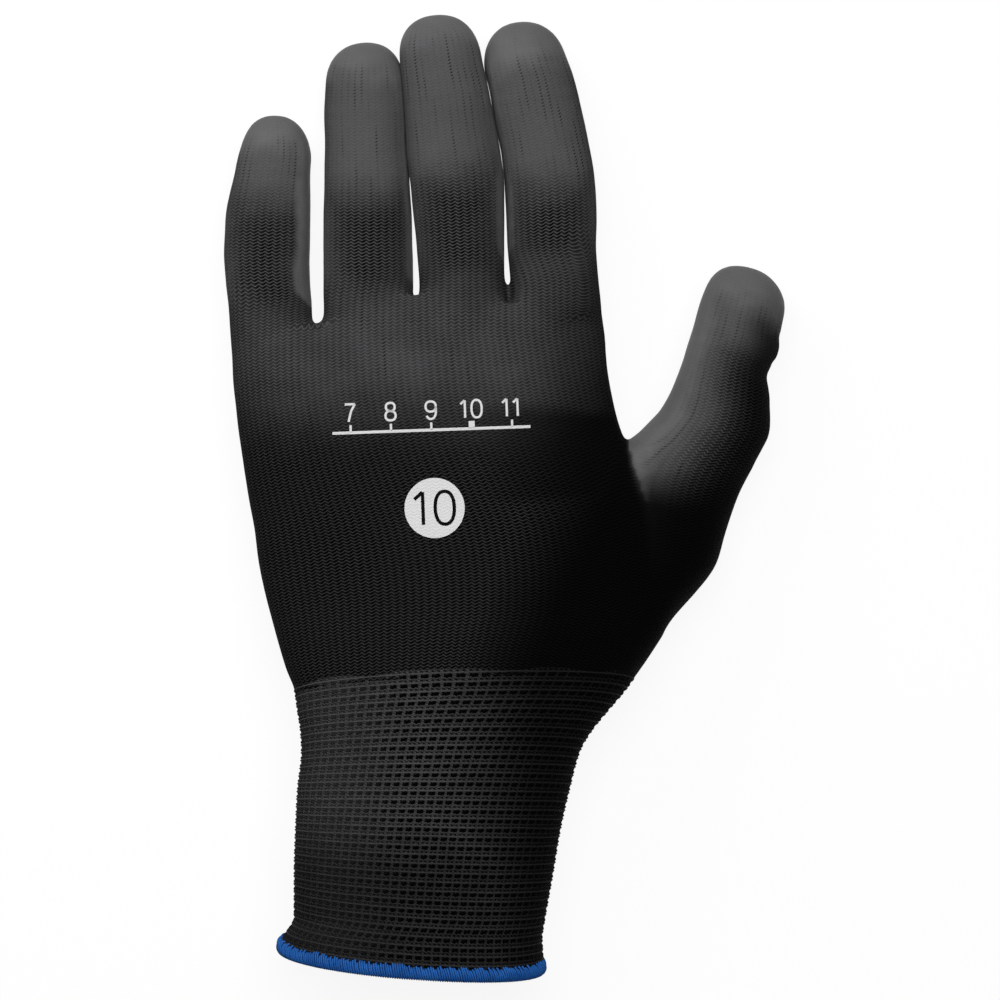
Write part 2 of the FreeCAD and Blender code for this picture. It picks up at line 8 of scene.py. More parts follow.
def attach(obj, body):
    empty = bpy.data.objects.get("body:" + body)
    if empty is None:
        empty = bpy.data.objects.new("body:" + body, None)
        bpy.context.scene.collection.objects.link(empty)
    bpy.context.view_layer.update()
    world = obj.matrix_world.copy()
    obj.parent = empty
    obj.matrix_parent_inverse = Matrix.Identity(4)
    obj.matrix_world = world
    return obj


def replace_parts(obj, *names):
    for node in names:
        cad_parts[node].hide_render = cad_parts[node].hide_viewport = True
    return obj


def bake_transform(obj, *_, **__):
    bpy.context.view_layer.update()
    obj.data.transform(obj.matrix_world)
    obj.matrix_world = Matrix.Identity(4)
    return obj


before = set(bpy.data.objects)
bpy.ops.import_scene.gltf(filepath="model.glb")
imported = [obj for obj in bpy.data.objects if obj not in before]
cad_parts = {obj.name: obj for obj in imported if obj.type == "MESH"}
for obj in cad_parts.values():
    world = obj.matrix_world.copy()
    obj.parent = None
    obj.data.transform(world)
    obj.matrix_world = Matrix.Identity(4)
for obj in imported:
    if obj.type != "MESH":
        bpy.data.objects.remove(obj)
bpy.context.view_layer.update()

# Lengths below are in millimetres in the part's own frame: X to the thumb's side,
# Y to the fingertips, Z out of the back of the hand. They turn into metres in makeMesh.
mm = 0.001
fullTurn = 2 * math.pi


def smoothStep(value, low, high):
    share = np.clip((value - low) / (high - low), 0, 1)
    return share * share * (3 - 2 * share)


def fairCurve(places, values, wanted):
    # monotone cubic through the stations, so nothing overshoots between them
    places = np.asarray(places, float)
    values = np.asarray(values, float)
    steps = np.diff(places)
    slopes = np.diff(values) / steps
    tangents = np.empty_like(values)
    tangents[0], tangents[-1] = slopes[0], slopes[-1]
    for k in range(1, len(values) - 1):
        if slopes[k - 1] * slopes[k] <= 0:
            tangents[k] = 0
        else:
            before, after = steps[k - 1], steps[k]
            first, second = 2 * after + before, after + 2 * before
            tangents[k] = (first + second) / (first / slopes[k - 1] + second / slopes[k])
    wanted = np.clip(np.asarray(wanted, float), places[0], places[-1])
    k = np.clip(np.searchsorted(places, wanted) - 1, 0, len(steps) - 1)
    t = (wanted - places[k]) / steps[k]
    return ((1 + 2 * t) * (1 - t) ** 2 * values[k] + t * (1 - t) ** 2 * steps[k] * tangents[k]
            + t * t * (3 - 2 * t) * values[k + 1] + t * t * (t - 1) * steps[k] * tangents[k + 1])


def roundedOval(angle, power):
    # unit superellipse: power 2 is an ellipse, more is squarer
    c, s = np.cos(angle), np.sin(angle)
    return np.sign(c) * np.abs(c) ** (2 / power), np.sign(s) * np.abs(s) ** (2 / power)


def softNoise(points, size, seed):
    # smooth repeatable unevenness from a few crossing waves
    draw = np.random.RandomState(seed)
    total = np.zeros(len(points))
    for _ in range(7):
        direction = draw.normal(size=3)
        direction /= np.linalg.norm(direction)
        pitch = size * draw.uniform(0.7, 1.5)
        total += np.sin(points @ direction * fullTurn / pitch + draw.uniform(0, fullTurn))
    return total / 7 * 1.6


def gridFaces(rings, around):
    ring, spot = np.meshgrid(np.arange(rings - 1), np.arange(around), indexing="ij")
    after = (spot + 1) % around
    base = ring * around
    return np.stack([base + spot, base + after, base + around + after, base + around + spot],
                    -1).reshape(-1, 4)


def makeMesh(name, points, faces=(), edges=()):
    mesh = bpy.data.meshes.new(name)
    faces = faces.tolist() if isinstance(faces, np.ndarray) else faces
    mesh.from_pydata((np.asarray(points) * mm).tolist(), edges, faces)
    mesh.update()
    return mesh


def makeObject(name, mesh, material=None, smooth=True):
    if material is not None:
        mesh.materials.clear()
        mesh.materials.append(material)
    if smooth:
        mesh.shade_smooth()
    piece = bpy.data.objects.new(name, mesh)
    bpy.context.scene.collection.objects.link(piece)
    return piece


def meshPoints(mesh):
    points = np.empty(len(mesh.vertices) * 3)
    mesh.vertices.foreach_get("co", points)
    return points.reshape(-1, 3) / mm


def setKnitMap(mesh, wales, courses, walesRound):
    # UV map that counts stitches: across in wales, along in courses
    corners = np.empty(len(mesh.loops), int)
    mesh.loops.foreach_get("vertex_index", corners)
    across = np.asarray(wales, float)[corners]
    along = np.asarray(courses, float)[corners]
    starts = np.empty(len(mesh.polygons), int)
    mesh.polygons.foreach_get("loop_start", starts)
    totals = np.empty(len(mesh.polygons), int)
    mesh.polygons.foreach_get("loop_total", totals)
    owner = np.repeat(np.arange(len(starts)), totals)
    highest = np.maximum.reduceat(across, starts)
    lowest = np.minimum.reduceat(across, starts)
    wraps = (highest - lowest)[owner] > walesRound[corners] / 2
    across = np.where(wraps & (across < 0), across + walesRound[corners], across)
    layer = mesh.uv_layers.new(name="knitMap")
    layer.data.foreach_set("uv", np.stack([across, along], 1).ravel().astype(np.float32))


def setNumber(mesh, name, values):
    layer = mesh.attributes.new(name, "FLOAT", "POINT")
    layer.data.foreach_set("value", np.asarray(values, np.float32))


def addNode(tree, kind, settings=None, values=None):
    # a node with its settings, each input linked or given a value of its own
    node = tree.nodes.new(kind)
    for key, value in (settings or {}).items():
        setattr(node, key, value)
    for key, value in (values or {}).items():
        feed(tree, node.inputs[key], value)
    return node


def feed(tree, socket, value):
    if isinstance(value, Wire):
        value = value.socket
    if isinstance(value, bpy.types.NodeSocket):
        tree.links.new(value, socket)
    elif socket.type == "RGBA" and len(value) == 3:
        socket.default_value = (*value, 1.0)
    else:
        socket.default_value = value


class Wire:
    # one socket of a material; arithmetic on it adds Math nodes
    def __init__(self, paint, socket):
        self.paint, self.socket = paint, socket

    def maths(self, operation, *others):
        return self.paint.node("ShaderNodeMath", {"operation": operation},
                               dict(enumerate((self, *others))))

    def __add__(self, other):
        return self.maths("ADD", other)

    def __mul__(self, other):
        return self.maths("MULTIPLY", other)

    __radd__, __rmul__ = __add__, __mul__

    def __sub__(self, other):
        return self.maths("SUBTRACT", other)

    def __rsub__(self, other):
        return self.paint.node("ShaderNodeMath", {"operation": "SUBTRACT"}, {0: other, 1: self})

    def __pow__(self, other):
        return self.maths("POWER", other)

    def __abs__(self):
        return self.maths("ABSOLUTE")

    def wave(self):
        return self.maths("SINE")

    def fraction(self):
        return self.maths("FRACT")

    def whole(self):
        return self.maths("FLOOR")

    def least(self, other):
        return self.maths("MINIMUM", other)

    def most(self, other):
        return self.maths("MAXIMUM", other)

    def within(self):
        return self.least(1.0).most(0.0)

    def ease(self, low, high):
        return self.paint.node("ShaderNodeMapRange", {"interpolation_type": "SMOOTHSTEP"},
                               {"Value": self, "From Min": low, "From Max": high})


class Paint:
    # a material under construction
    def __init__(self, name):
        self.material = bpy.data.materials.new(name)
        self.material.use_nodes = True
        self.tree = self.material.node_tree
        self.tree.nodes.clear()
        self.shader = self.tree.nodes.new("ShaderNodeBsdfPrincipled")
        self.output = self.tree.nodes.new("ShaderNodeOutputMaterial")
        self.tree.links.new(self.shader.outputs[0], self.output.inputs["Surface"])

    def node(self, kind, settings=None, values=None, output=0):
        return Wire(self, addNode(self.tree, kind, settings, values).outputs[output])

    def set(self, **values):
        for name, value in values.items():
            feed(self.tree, self.shader.inputs[name.replace("_", " ")], value)

    def mixColour(self, share, first, second, blend="MIX"):
        return self.node("ShaderNodeMix", {"data_type": "RGBA", "blend_type": blend},
                         {0: share, 6: first, 7: second}, 2)

    def shaded(self, colour, shade):
        grey = self.node("ShaderNodeCombineColor", None, {0: shade, 1: shade, 2: shade})
        return self.mixColour(1.0, colour, grey, "MULTIPLY")

    def objectSpace(self):
        return self.node("ShaderNodeTexCoord", output="Object")

    def axis(self, where, letter):
        return self.node("ShaderNodeSeparateXYZ", None, {0: where}, letter)

    def noise(self, where, scale, detail=2.0, roughness=0.5):
        return self.node("ShaderNodeTexNoise", {"noise_dimensions": "3D"},
                         {"Vector": where, "Scale": scale, "Detail": detail,
                          "Roughness": roughness}, "Fac")

    def attribute(self, name):
        return self.node("ShaderNodeAttribute", {"attribute_name": name}, output="Fac")

    def stitchMap(self):
        place = self.node("ShaderNodeUVMap", {"uv_map": "knitMap"})
        return self.axis(place, "X"), self.axis(place, "Y")

    def bump(self, height, distance):
        return self.node("ShaderNodeBump", None,
                         {"Height": height, "Distance": distance, "Strength": 1.0}, "Normal")


knitFinish = {
    "yarn": (0.124, 0.123, 0.127),
    # soaked yarn is greyer, and part of its lightness is painted light
    "yarnSoakedAndLit": (0.146, 0.145, 0.149),
    # near-black painted shade in the gaps and holes between the yarns
    "gap": (0.0010, 0.0010, 0.0012),
    "film": (0.158, 0.157, 0.161),
    "filmWorn": (0.182, 0.181, 0.185),
    "filmDark": (0.124, 0.123, 0.127),
    # how strongly the painted shade darkens the yarn
    "paintedShadeStrength": 0.97,
    "zigzag": 0.27,  # how far a course swings, in courses
    # each pair says where a dark begins and where it is full
    "yarnEdge": (0.08, 0.44),
    "holeColumn": (0.10, 0.80), "holeEdge": (0.26, 0.60),
    "dotColumn": (0.40, 0.85), "dotEdge": (0.46, 0.80),
    # noise scales, from slow to fine
    "patchy": 38.0, "scuff": 95.0, "uneven": 170.0, "grain": 2600.0, "fuzz": 5200.0,
    "knitRough": 0.86, "filmRough": 0.56, "knitBump": 0.00034,
    "filmCoat": 0.20, "coatRough": 0.42, "specular": 0.05,
}


def makeKnitMaterial(name, finish):
    paint = Paint(name)
    across, along = paint.stitchMap()
    here = paint.objectSpace()
    film, soakAndLight, loose, paintedShade = [paint.attribute(key) for key in ("film", "soakAndLight", "loose", "paintedShade")]
    uneven = paint.noise(here, finish["uneven"], 3.0) - 0.5
    patchy = paint.noise(here, finish["patchy"], 2.0) - 0.5
    grain = paint.noise(here, finish["grain"], 3.0, 0.6) - 0.5
    fuzz = paint.noise(here, finish["fuzz"], 2.0, 0.6) - 0.5

    turn = across * fullTurn + uneven * 0.9
    swing = turn.wave() * finish["zigzag"] + (turn * 2 + 0.6).wave() * 0.05
    level = along + swing + uneven * 0.55
    fromYarn = abs(level.fraction() - 0.5) * 2
    yarnRound = 1 - fromYarn ** 2.4
    # a dark hole stands beside each loop, in one column for each wale
    column = (turn - 1.35).wave()
    gap = fromYarn.ease(*finish["yarnEdge"])
    hole = column.ease(*finish["holeColumn"]) * fromYarn.ease(*finish["holeEdge"])
    # two twisted plies along the yarn
    ply = (across * 31.0 + level * 9.0).wave() * 0.5 + 0.5

    mask = (film + uneven * 1.3 + patchy * 1.6).ease(-0.75, 0.75)
    # how far the cloth is soaked, which also lightens it as painted light
    soakedAndLit = (soakAndLight + uneven * 0.5 + patchy * 0.9).ease(-1.0, 1.0)
    # in soaked cloth only some columns keep their holes open
    strip = paint.node("ShaderNodeCombineXYZ", None,
                       {0: (across + 0.25).whole() * 3.7, 1: along * 0.045})
    openColumn = paint.noise(strip, 1.0, 2.0).ease(0.46, 0.62) * (0.8 + patchy * 2.0).within()
    dots = column.ease(*finish["dotColumn"]) * fromYarn.ease(*finish["dotEdge"])
    dots = dots * (0.22 + openColumn * 0.75)

    gapDark = gap * (1 - soakedAndLit * 0.92) * (0.90 + column * 0.10 + patchy * 0.3)
    holeDark = (hole * (1 - soakedAndLit * 0.94) * (0.94 + loose * 0.1)).most(dots)
    shade = 0.86 + column * (soakedAndLit - 1) * 0.08 + ply * 0.16 + grain * 0.5 + patchy * 0.35
    yarn = paint.mixColour(soakedAndLit, finish["yarn"], finish["yarnSoakedAndLit"])
    # painted shade darkens the yarn to the thumb's side, below the knuckles and towards the wrist
    yarn = paint.shaded(yarn, shade * (1 - paintedShade * finish["paintedShadeStrength"]))
    # gaps and holes take the near-black painted shade
    knit = paint.mixColour(gapDark.most(holeDark).within(), yarn, finish["gap"])

    scuff = (paint.noise(here, finish["scuff"], 4.0, 0.62) + grain * 0.25).ease(0.30, 0.72)
    filmTone = paint.mixColour(scuff, finish["film"], finish["filmWorn"])
    crease = (patchy * 2.2 + uneven * 0.8).ease(0.1, 0.8)
    filmTone = paint.mixColour(crease * 0.45, filmTone, finish["filmDark"])
    # the courses still print through the film, faintly, their gaps and holes darkened by painted
    # shade
    imprint = (gap * 0.08 + dots * 0.30) * (0.55 + uneven * 1.2).within()
    filmTone = paint.mixColour(imprint, filmTone, finish["gap"])
    edgeHoles = dots * (1 - abs(mask * 2 - 1)) * 0.8
    colour = paint.mixColour(mask, knit, filmTone)
    colour = paint.mixColour(edgeHoles, colour, finish["gap"])

    height = yarnRound * (1 - soakedAndLit * 0.7) * (1 - hole * 0.7) + ply * 0.08 + fuzz * 0.22
    height = height * (1 - mask * 0.90) + mask * (grain * 0.16 + 0.25) + uneven * 0.2
    smoother = finish["knitRough"] - finish["filmRough"]
    paint.set(Base_Color=colour, Normal=paint.bump(height, finish["knitBump"]),
              Roughness=finish["knitRough"] - mask * smoother + grain * 0.18,
              Coat_Weight=mask * finish["filmCoat"], Coat_Roughness=finish["coatRough"],
              Specular_IOR_Level=finish["specular"])
    return paint.material


cuffFinish = {
    "yarn": (0.092, 0.091, 0.095),
    # near-black painted shade in the cuff's holes and between its threads
    "gap": (0.0008, 0.0008, 0.0010),
    "uneven": 260.0, "grain": 3000.0,
    "rough": 0.88, "bump": 0.0004, "specular": 0.04,
    # painted shade: the cuff is darker to the thumb's side and near the hem, where it lies away
    # from the light; starts and ends in metres
    "side": (-0.004, 0.030), "sideShade": 0.86,
    "below": (0.070, 0.092), "belowShade": 0.55,
}


def cuffShade(paint, here, sideShade):
    # painted shade, darker to the thumb's side and towards the hem
    side = paint.axis(here, "X").ease(*cuffFinish["side"]) * sideShade
    below = (0 - paint.axis(here, "Y")).ease(*cuffFinish["below"]) * cuffFinish["belowShade"]
    return side.most(below)


def makeCuffMaterial(name, finish):
    # the dark ground between the threads of the cuff
    paint = Paint(name)
    across, along = paint.stitchMap()
    here = paint.objectSpace()
    uneven = paint.noise(here, finish["uneven"], 3.0) - 0.5
    grain = paint.noise(here, finish["grain"], 3.0, 0.6) - 0.5
    turn = across * fullTurn + uneven * 0.8
    # the holes are wider to the thumb's side
    wider = (paint.axis(here, "X") + 0.036).ease(0.0, 0.040) + uneven * 0.5
    level = along * 3 + turn.wave() * 0.30 + uneven * 0.5
    fromYarn = abs(level.fraction() - 0.5) * 2
    edge = along.fraction() + (turn * 2 + 0.9).wave() * 0.05 + uneven * 0.06
    patch = ((turn + 2.2).wave() + wider * 0.55).ease(-0.35, 0.25)
    patch = patch * edge.ease(0.07, 0.17) * edge.ease(0.60, 0.50)
    small = ((turn * 2 + 0.4).wave() + wider * 0.4).ease(0.15, 0.75)
    small = small * edge.ease(0.70, 0.76) * edge.ease(0.93, 0.86)
    # the holes and the lines between threads take the near-black painted shade
    dark = (fromYarn.ease(0.15, 0.7) * 0.45).most(patch * (0.55 + wider * 0.6))
    dark = dark.most(small * (0.35 + wider * 0.6)).within()
    # the yarn is darkened by the painted shade
    shade = (0.85 + grain * 0.6 + uneven * 0.4) * (1 - cuffShade(paint, here, finish["sideShade"]))
    height = (1 - fromYarn ** 2) * 0.4 - patch * 0.8 - small * 0.5 + grain * 0.2
    paint.set(Base_Color=paint.mixColour(dark, paint.shaded(finish["yarn"], shade), finish["gap"]),
              Roughness=finish["rough"] + grain * 0.2, Normal=paint.bump(height, finish["bump"]),
              Specular_IOR_Level=finish["specular"])
    return paint.material


threadFinish = {
    "elastic": {"tone": (0.112, 0.111, 0.115), "shade": (0.060, 0.060, 0.062), "rough": 0.80,
                "sideShade": 0.86},
    "zigzag": {"tone": (0.098, 0.097, 0.101), "shade": (0.040, 0.040, 0.042), "rough": 0.86,
               "sideShade": 0.88},
    "hem": {"tone": (0.040, 0.215, 0.700), "shade": (0.014, 0.110, 0.440), "rough": 0.72},
    "hemGround": {"tone": (0.010, 0.085, 0.330), "shade": (0.004, 0.030, 0.140), "rough": 0.84},
    "slow": 190.0, "bump": 0.00012, "specular": 0.12,
}


def makeThreadMaterial(name, kind, fibreScale=1500.0):
    finish = threadFinish[kind]
    paint = Paint(name)
    here = paint.objectSpace()
    slow = paint.noise(here, threadFinish["slow"], 2.0)
    fibre = paint.noise(here, fibreScale, 4.0, 0.65)
    tone = paint.mixColour((slow * 0.6 + fibre * 0.7 - 0.15).ease(0.15, 0.85),
                           finish["shade"], finish["tone"])
    # painted shade: the threads fade to near-black to the thumb's side and near the hem
    if "sideShade" in finish:
        tone = paint.mixColour(cuffShade(paint, here, finish["sideShade"]), tone, cuffFinish["gap"])
    paint.set(Base_Color=tone, Roughness=finish["rough"] + (fibre - 0.5) * 0.2,
              Normal=paint.bump(fibre, threadFinish["bump"]),
              Specular_IOR_Level=threadFinish["specular"])
    return paint.material


knitMaterial = makeKnitMaterial("seamlessKnit", knitFinish)
cuffMaterial = makeCuffMaterial("cuffGround", cuffFinish)
elasticMaterial = makeThreadMaterial("elasticThread", "elastic")
zigzagMaterial = makeThreadMaterial("cuffYarn", "zigzag")
hemMaterial = makeThreadMaterial("hemThread", "hem")
hemGroundMaterial = makeThreadMaterial("hemGround", "hemGround", 900.0)
print("materials made")


# the sleeve is the cuff, the wrist and the palm
sleeve = {
    # along, left edge, right edge, middle height, half depth, squareness
    "stations": [
        (-122.0, -41.6, 28.6, 24.0, 22.0, 2.1),
        (-112.0, -41.2, 28.4, 23.8, 21.9, 2.1),
        (-107.4, -40.2, 28.2, 23.4, 21.7, 2.1),
        (-104.4, -38.1, 28.6, 23.1, 21.5, 2.1),
        (-102.0, -37.0, 29.0, 22.9, 21.3, 2.1),
        (-89.8, -37.0, 31.2, 22.6, 21.2, 2.1),
        (-79.2, -36.7, 33.0, 22.3, 21.0, 2.1),
        (-68.6, -36.2, 35.4, 21.9, 20.8, 2.1),
        (-58.1, -35.1, 38.3, 21.5, 20.6, 2.15),
        (-52.8, -35.4, 41.4, 21.2, 20.4, 2.15),
        (-47.5, -36.2, 45.7, 20.9, 20.2, 2.2),
        (-42.2, -37.0, 50.2, 20.6, 20.0, 2.2),
        (-37.0, -39.1, 53.9, 20.2, 19.8, 2.25),
        (-31.7, -40.7, 57.3, 19.7, 19.5, 2.25),
        (-26.4, -42.2, 60.7, 19.0, 19.1, 2.3),
        (-21.1, -43.6, 63.9, 17.8, 18.7, 2.3),
        (-10.6, -46.2, 66.0, 17.2, 18.0, 2.3),
        (0.0, -47.8, 64.0, 16.8, 17.5, 2.35),
        (10.6, -49.6, 57.8, 16.4, 16.9, 2.4),
        (21.1, -51.2, 51.2, 16.1, 16.4, 2.4),
        (36.9, -53.4, 46.4, 15.8, 15.6, 2.4),
        (47.5, -54.0, 45.1, 15.2, 13.8, 2.4),
        (60.7, -54.7, 43.8, 15.0, 11.8, 2.3),
        (80.0, -55.2, 43.4, 14.8, 8.0, 2.2),
    ],
    "knitEnd": [(-60.0, 51.0), (-44.0, 52.4), (-31.4, 53.6), (-18.0, 58.6), (-5.3, 62.8),
                (7.0, 61.6), (19.0, 60.7), (32.0, 59.0), (46.0, 58.5)],
    "walesRound": 116,
    "course": 0.85,
    "bow": 600.0,      # the courses bow a little, as on a circle of this reach
    "mapEnd": 52.0,    # past here the fingers take over the count of wales
    "capStart": 48.0, "capHeight": 15.0, "capThin": 0.12,
}
stationRows = np.array(sleeve["stations"])


def sleeveSection(along):
    values = [fairCurve(stationRows[:, 0], stationRows[:, k], along) for k in range(1, 6)]
    left, right, height, halfDepth, power = values
    return (left + right) / 2, (right - left) / 2, height, halfDepth, power


def sleevePoint(along, angle, outward=0.0):
    middle, halfWidth, height, halfDepth, power = sleeveSection(along)
    c, s = roundedOval(angle, power)
    return np.stack([middle + (halfWidth + outward) * c, along,
                     height + (halfDepth + outward) * s], -1)


def sleeveAngle(points):
    middle, halfWidth, height, halfDepth, power = sleeveSection(points[:, 1])
    x = (points[:, 0] - middle) / halfWidth
    z = (points[:, 2] - height) / halfDepth
    size = (np.abs(x) ** power + np.abs(z) ** power) ** (1 / power)
    c = np.sign(x) * np.abs(x) ** (power / 2)
    s = np.sign(z) * np.abs(z) ** (power / 2)
    return np.arctan2(s, c), (size - 1) * np.minimum(halfWidth, halfDepth)


def sleeveMapTurn(points):
    # as sleeveAngle, but near the fingers the back is mapped straight down onto the section
    points = np.stack([points[:, 0], np.minimum(points[:, 1], sleeve["mapEnd"]), points[:, 2]], 1)
    turn = sleeveAngle(points)[0]
    middle, halfWidth, height, halfDepth, power = sleeveSection(points[:, 1])
    x = np.clip((points[:, 0] - middle) / halfWidth, -1, 1)
    flat = np.arccos(np.sign(x) * np.abs(x) ** (power / 2))
    flat = np.where(points[:, 2] >= height, flat, -flat)
    share = smoothStep(points[:, 1], 22, 40) * (1 - smoothStep(np.abs(x), 0.84, 0.98))
    return turn * (1 - share) + flat * share


def coursesAt(x, y):
    return (y + (x - 10) ** 2 / sleeve["bow"]) / sleeve["course"]


def arcShare(angle, halfWidth, halfDepth, power):
    # share of the way round from the middle of the back, by real arc length
    table = np.linspace(-math.pi, math.pi, 721)
    aspects = np.linspace(0.2, 1.6, 29)
    c, s = roundedOval(table, power)
    rows = []
    for aspect in aspects:
        length = np.hypot(np.diff(c), np.diff(s * aspect))
        total = np.concatenate([[0], np.cumsum(length)])
        rows.append(total / total[-1])
    rows = np.array(rows)
    # measured from the back's middle (angle of a quarter turn), positive to the thumb's side
    aspect = np.clip(halfDepth / halfWidth, aspects[0], aspects[-1])
    row = (aspect - aspects[0]) / (aspects[1] - aspects[0])
    low = np.clip(row.astype(int), 0, len(aspects) - 2)
    part = row - low
    place = (angle + math.pi) / fullTurn * (len(table) - 1)
    spot = np.clip(place.astype(int), 0, len(table) - 2)
    rest = place - spot
    share = ((rows[low, spot] * (1 - rest) + rows[low, spot + 1] * rest) * (1 - part)
             + (rows[low + 1, spot] * (1 - rest) + rows[low + 1, spot + 1] * rest) * part)
    share = 0.75 - share
    return np.where(share > 0.5, share - 1, share)


digits = {
    "index": {
        "root": (31.4, 71.26), "lean": 7.6, "up": 14.0, "end": 63.8, "round": 13.8,
        "stations": [  # along, sideways, half width, drop, half depth
            (-16, -0.6, 11.2, -1.9, 10.1), (-8, -0.8, 11.5, -1.9, 10.7),
            (0, -0.3, 11.5, -1.6, 10.7), (8, 0.6, 11.8, -0.9, 10.5), (16, 1.35, 11.95, 0.0, 10.2),
            (24, 1.7, 11.65, 1.1, 10.0), (32, 1.45, 11.45, 1.9, 9.5), (40, 0.95, 11.5, 2.8, 9.2),
            (48, 0.35, 11.3, 3.8, 9.0), (54, -0.5, 11.1, 4.5, 8.8), (63.8, -0.9, 11.1, 5.2, 8.6)],
        "joints": (22.2, 43.3), "nail": 50.0, "soakedAndLit": 19.0, "wrap": -0.55,
        "spread": (3.2, -7.5, 7.0), "rootBend": (-5.0, 6.0),
        "middleBend": 7.0, "tipBend": 4.5, "wales": 34,
    },
    "middle": {
        "root": (6.95, 66.78), "lean": 5.2, "up": 16.6, "end": 69.9, "round": 12.4,
        "stations": [
            (-16, 0.0, 11.2, 0.2, 9.4), (-8, -0.1, 11.3, -0.3, 10.4), (0, 0.25, 11.05, -0.4, 10.7),
            (8, 0.6, 11.3, -0.1, 10.5), (16, 1.0, 11.75, 0.4, 10.3), (24, 1.2, 12.2, 1.1, 10.2),
            (32, 1.0, 12.2, 1.8, 9.9), (40, 0.7, 11.6, 2.6, 9.5), (48, 0.5, 11.2, 3.5, 9.3),
            (57, -0.2, 10.8, 4.8, 9.0), (69.9, -0.8, 10.9, 7.0, 8.8)],
        "joints": (26.7, 48.6), "nail": 61.0, "soakedAndLit": 26.0, "wrap": 0.55,
        "spread": (0.0, 0.0, 9.0), "rootBend": (-0.5, 10.0),
        "middleBend": 7.0, "tipBend": 4.5, "wales": 34,
    },
    "ring": {
        "root": (-17.5, 62.29), "lean": 0.0, "up": 14.2, "end": 66.8, "round": 11.8,
        "stations": [
            (-16, -0.1, 11.2, -1.8, 9.2), (-8, -0.1, 11.6, -1.9, 10.2),
            (0, -0.15, 11.65, -1.6, 10.5), (12, -0.3, 11.5, -0.3, 10.1),
            (24, -0.35, 11.25, 1.0, 9.8), (32, -0.5, 11.0, 1.8, 9.3), (40, -0.8, 10.7, 2.7, 9.0),
            (48, -1.0, 10.6, 3.6, 8.8), (54, -1.1, 10.3, 4.3, 8.6), (66.8, -0.8, 10.2, 5.8, 8.4)],
        "joints": (27.2, 48.3), "nail": 55.0, "soakedAndLit": 25.0, "wrap": 0.6,
        "spread": (-2.4, -1.0, 11.0), "rootBend": (3.0, 13.0),
        "middleBend": 7.0, "tipBend": 4.5, "wales": 34,
    },
    "little": {
        "root": (-43.9, 57.44), "lean": -1.6, "up": 13.8, "end": 52.5, "round": 14.0,
        "stations": [
            (-16, 0.8, 9.5, -0.9, 8.6), (-8, 0.8, 10.6, -1.0, 9.3), (0, 0.5, 10.9, -0.9, 9.5),
            (8, -0.5, 11.1, -0.2, 9.3), (16, -1.0, 11.2, 0.8, 9.1), (24, -1.0, 11.0, 1.5, 8.8),
            (32, -0.5, 10.3, 2.7, 8.4), (38, 0.0, 9.6, 3.6, 8.2), (44, 0.5, 9.4, 4.4, 8.0),
            (52.5, 0.2, 9.3, 5.2, 7.9)],
        "joints": (21.9, 37.7), "nail": 42.0, "soakedAndLit": 28.0, "wrap": 1.05,
        "spread": (-1.6, -1.0, 12.0), "rootBend": (-0.5, 9.0),
        "middleBend": 6.5, "tipBend": 4.0, "wales": 33,
    },
    "thumb": {
        "root": (69.2, 19.8), "lean": -13.1, "up": 13.2, "end": 51.7, "round": 11.4,
        "stations": [
            (-48, -14.0, 14.0, -1.6, 13.0), (-42, -11.3, 15.5, -1.4, 14.2),
            (-34, -7.4, 16.5, -1.4, 14.4), (-26, -4.8, 16.8, -1.2, 14.2),
            (-18, -4.6, 16.5, -0.8, 13.6), (-10, -4.2, 16.9, -0.4, 12.8),
            (-5, -3.4, 17.0, -0.2, 12.2), (-1, -2.1, 16.8, 0.0, 11.8), (2, -0.5, 15.9, 0.1, 11.6),
            (6, 1.3, 15.2, 0.1, 11.5), (10, 2.7, 14.5, 0.2, 11.4), (14, 2.9, 13.6, 0.2, 11.3),
            (18, 2.6, 12.7, 0.3, 11.2), (22, 2.3, 11.9, 0.4, 11.0), (26, 2.2, 11.4, 0.6, 10.9),
            (30, 2.8, 11.6, 0.9, 10.9), (34, 3.0, 11.4, 1.2, 10.6), (38, 3.0, 11.1, 1.7, 10.2),
            (42, 3.1, 10.8, 2.2, 9.8), (51.4, 2.3, 10.6, 3.0, 9.4)],
        "joints": (29.1,), "nail": 38.0, "soakedAndLit": 27.0,
        "spread": (0.0, 0.0, 9.0), "rootBend": (1.0, 13.0),
        "middleBend": 7.0, "tipBend": 7.0, "wales": 40,
    },
}
squareness = 2.15
farAway = 99.0  # stands for the distance to a surface that doesn't reach there
skin = {"voxel": 0.75, "smoothing": 6, "wall": 1.1, "wristOverlap": 1.2, "plump": 0.2,
        "palmEdge": 10.5, "table": 0.03}
fingerNames = ["index", "middle", "ring", "little"]


def digitFrame(name):
    lean = math.radians(digits[name]["lean"])
    sideways = np.array([math.cos(lean), math.sin(lean), 0.0])
    ahead = np.array([-math.sin(lean), math.cos(lean), 0.0])
    root = np.array([*digits[name]["root"], 0.0])
    return root, sideways, ahead


def digitSection(name, along):
    size = digits[name]
    rows = np.array(size["stations"], float)
    values = [fairCurve(rows[:, 0], rows[:, k], along) for k in range(1, 5)]
    side, halfWidth, drop, halfDepth = values
    start = size["end"] - size["round"]
    share = np.clip((along - start) / size["round"], 0, 1)
    cap = np.maximum(1 - share ** 2.3, 0) ** (1 / 2.3)
    halfWidth = halfWidth + skin["plump"]
    return side, halfWidth * cap, size["up"] - drop, halfDepth * cap


def spreadShift(name, along):
    # fingers are spread a little while they are joined to the palm, then put back
    amount, first, last = digits[name]["spread"]
    return amount * smoothStep(along, first, last)


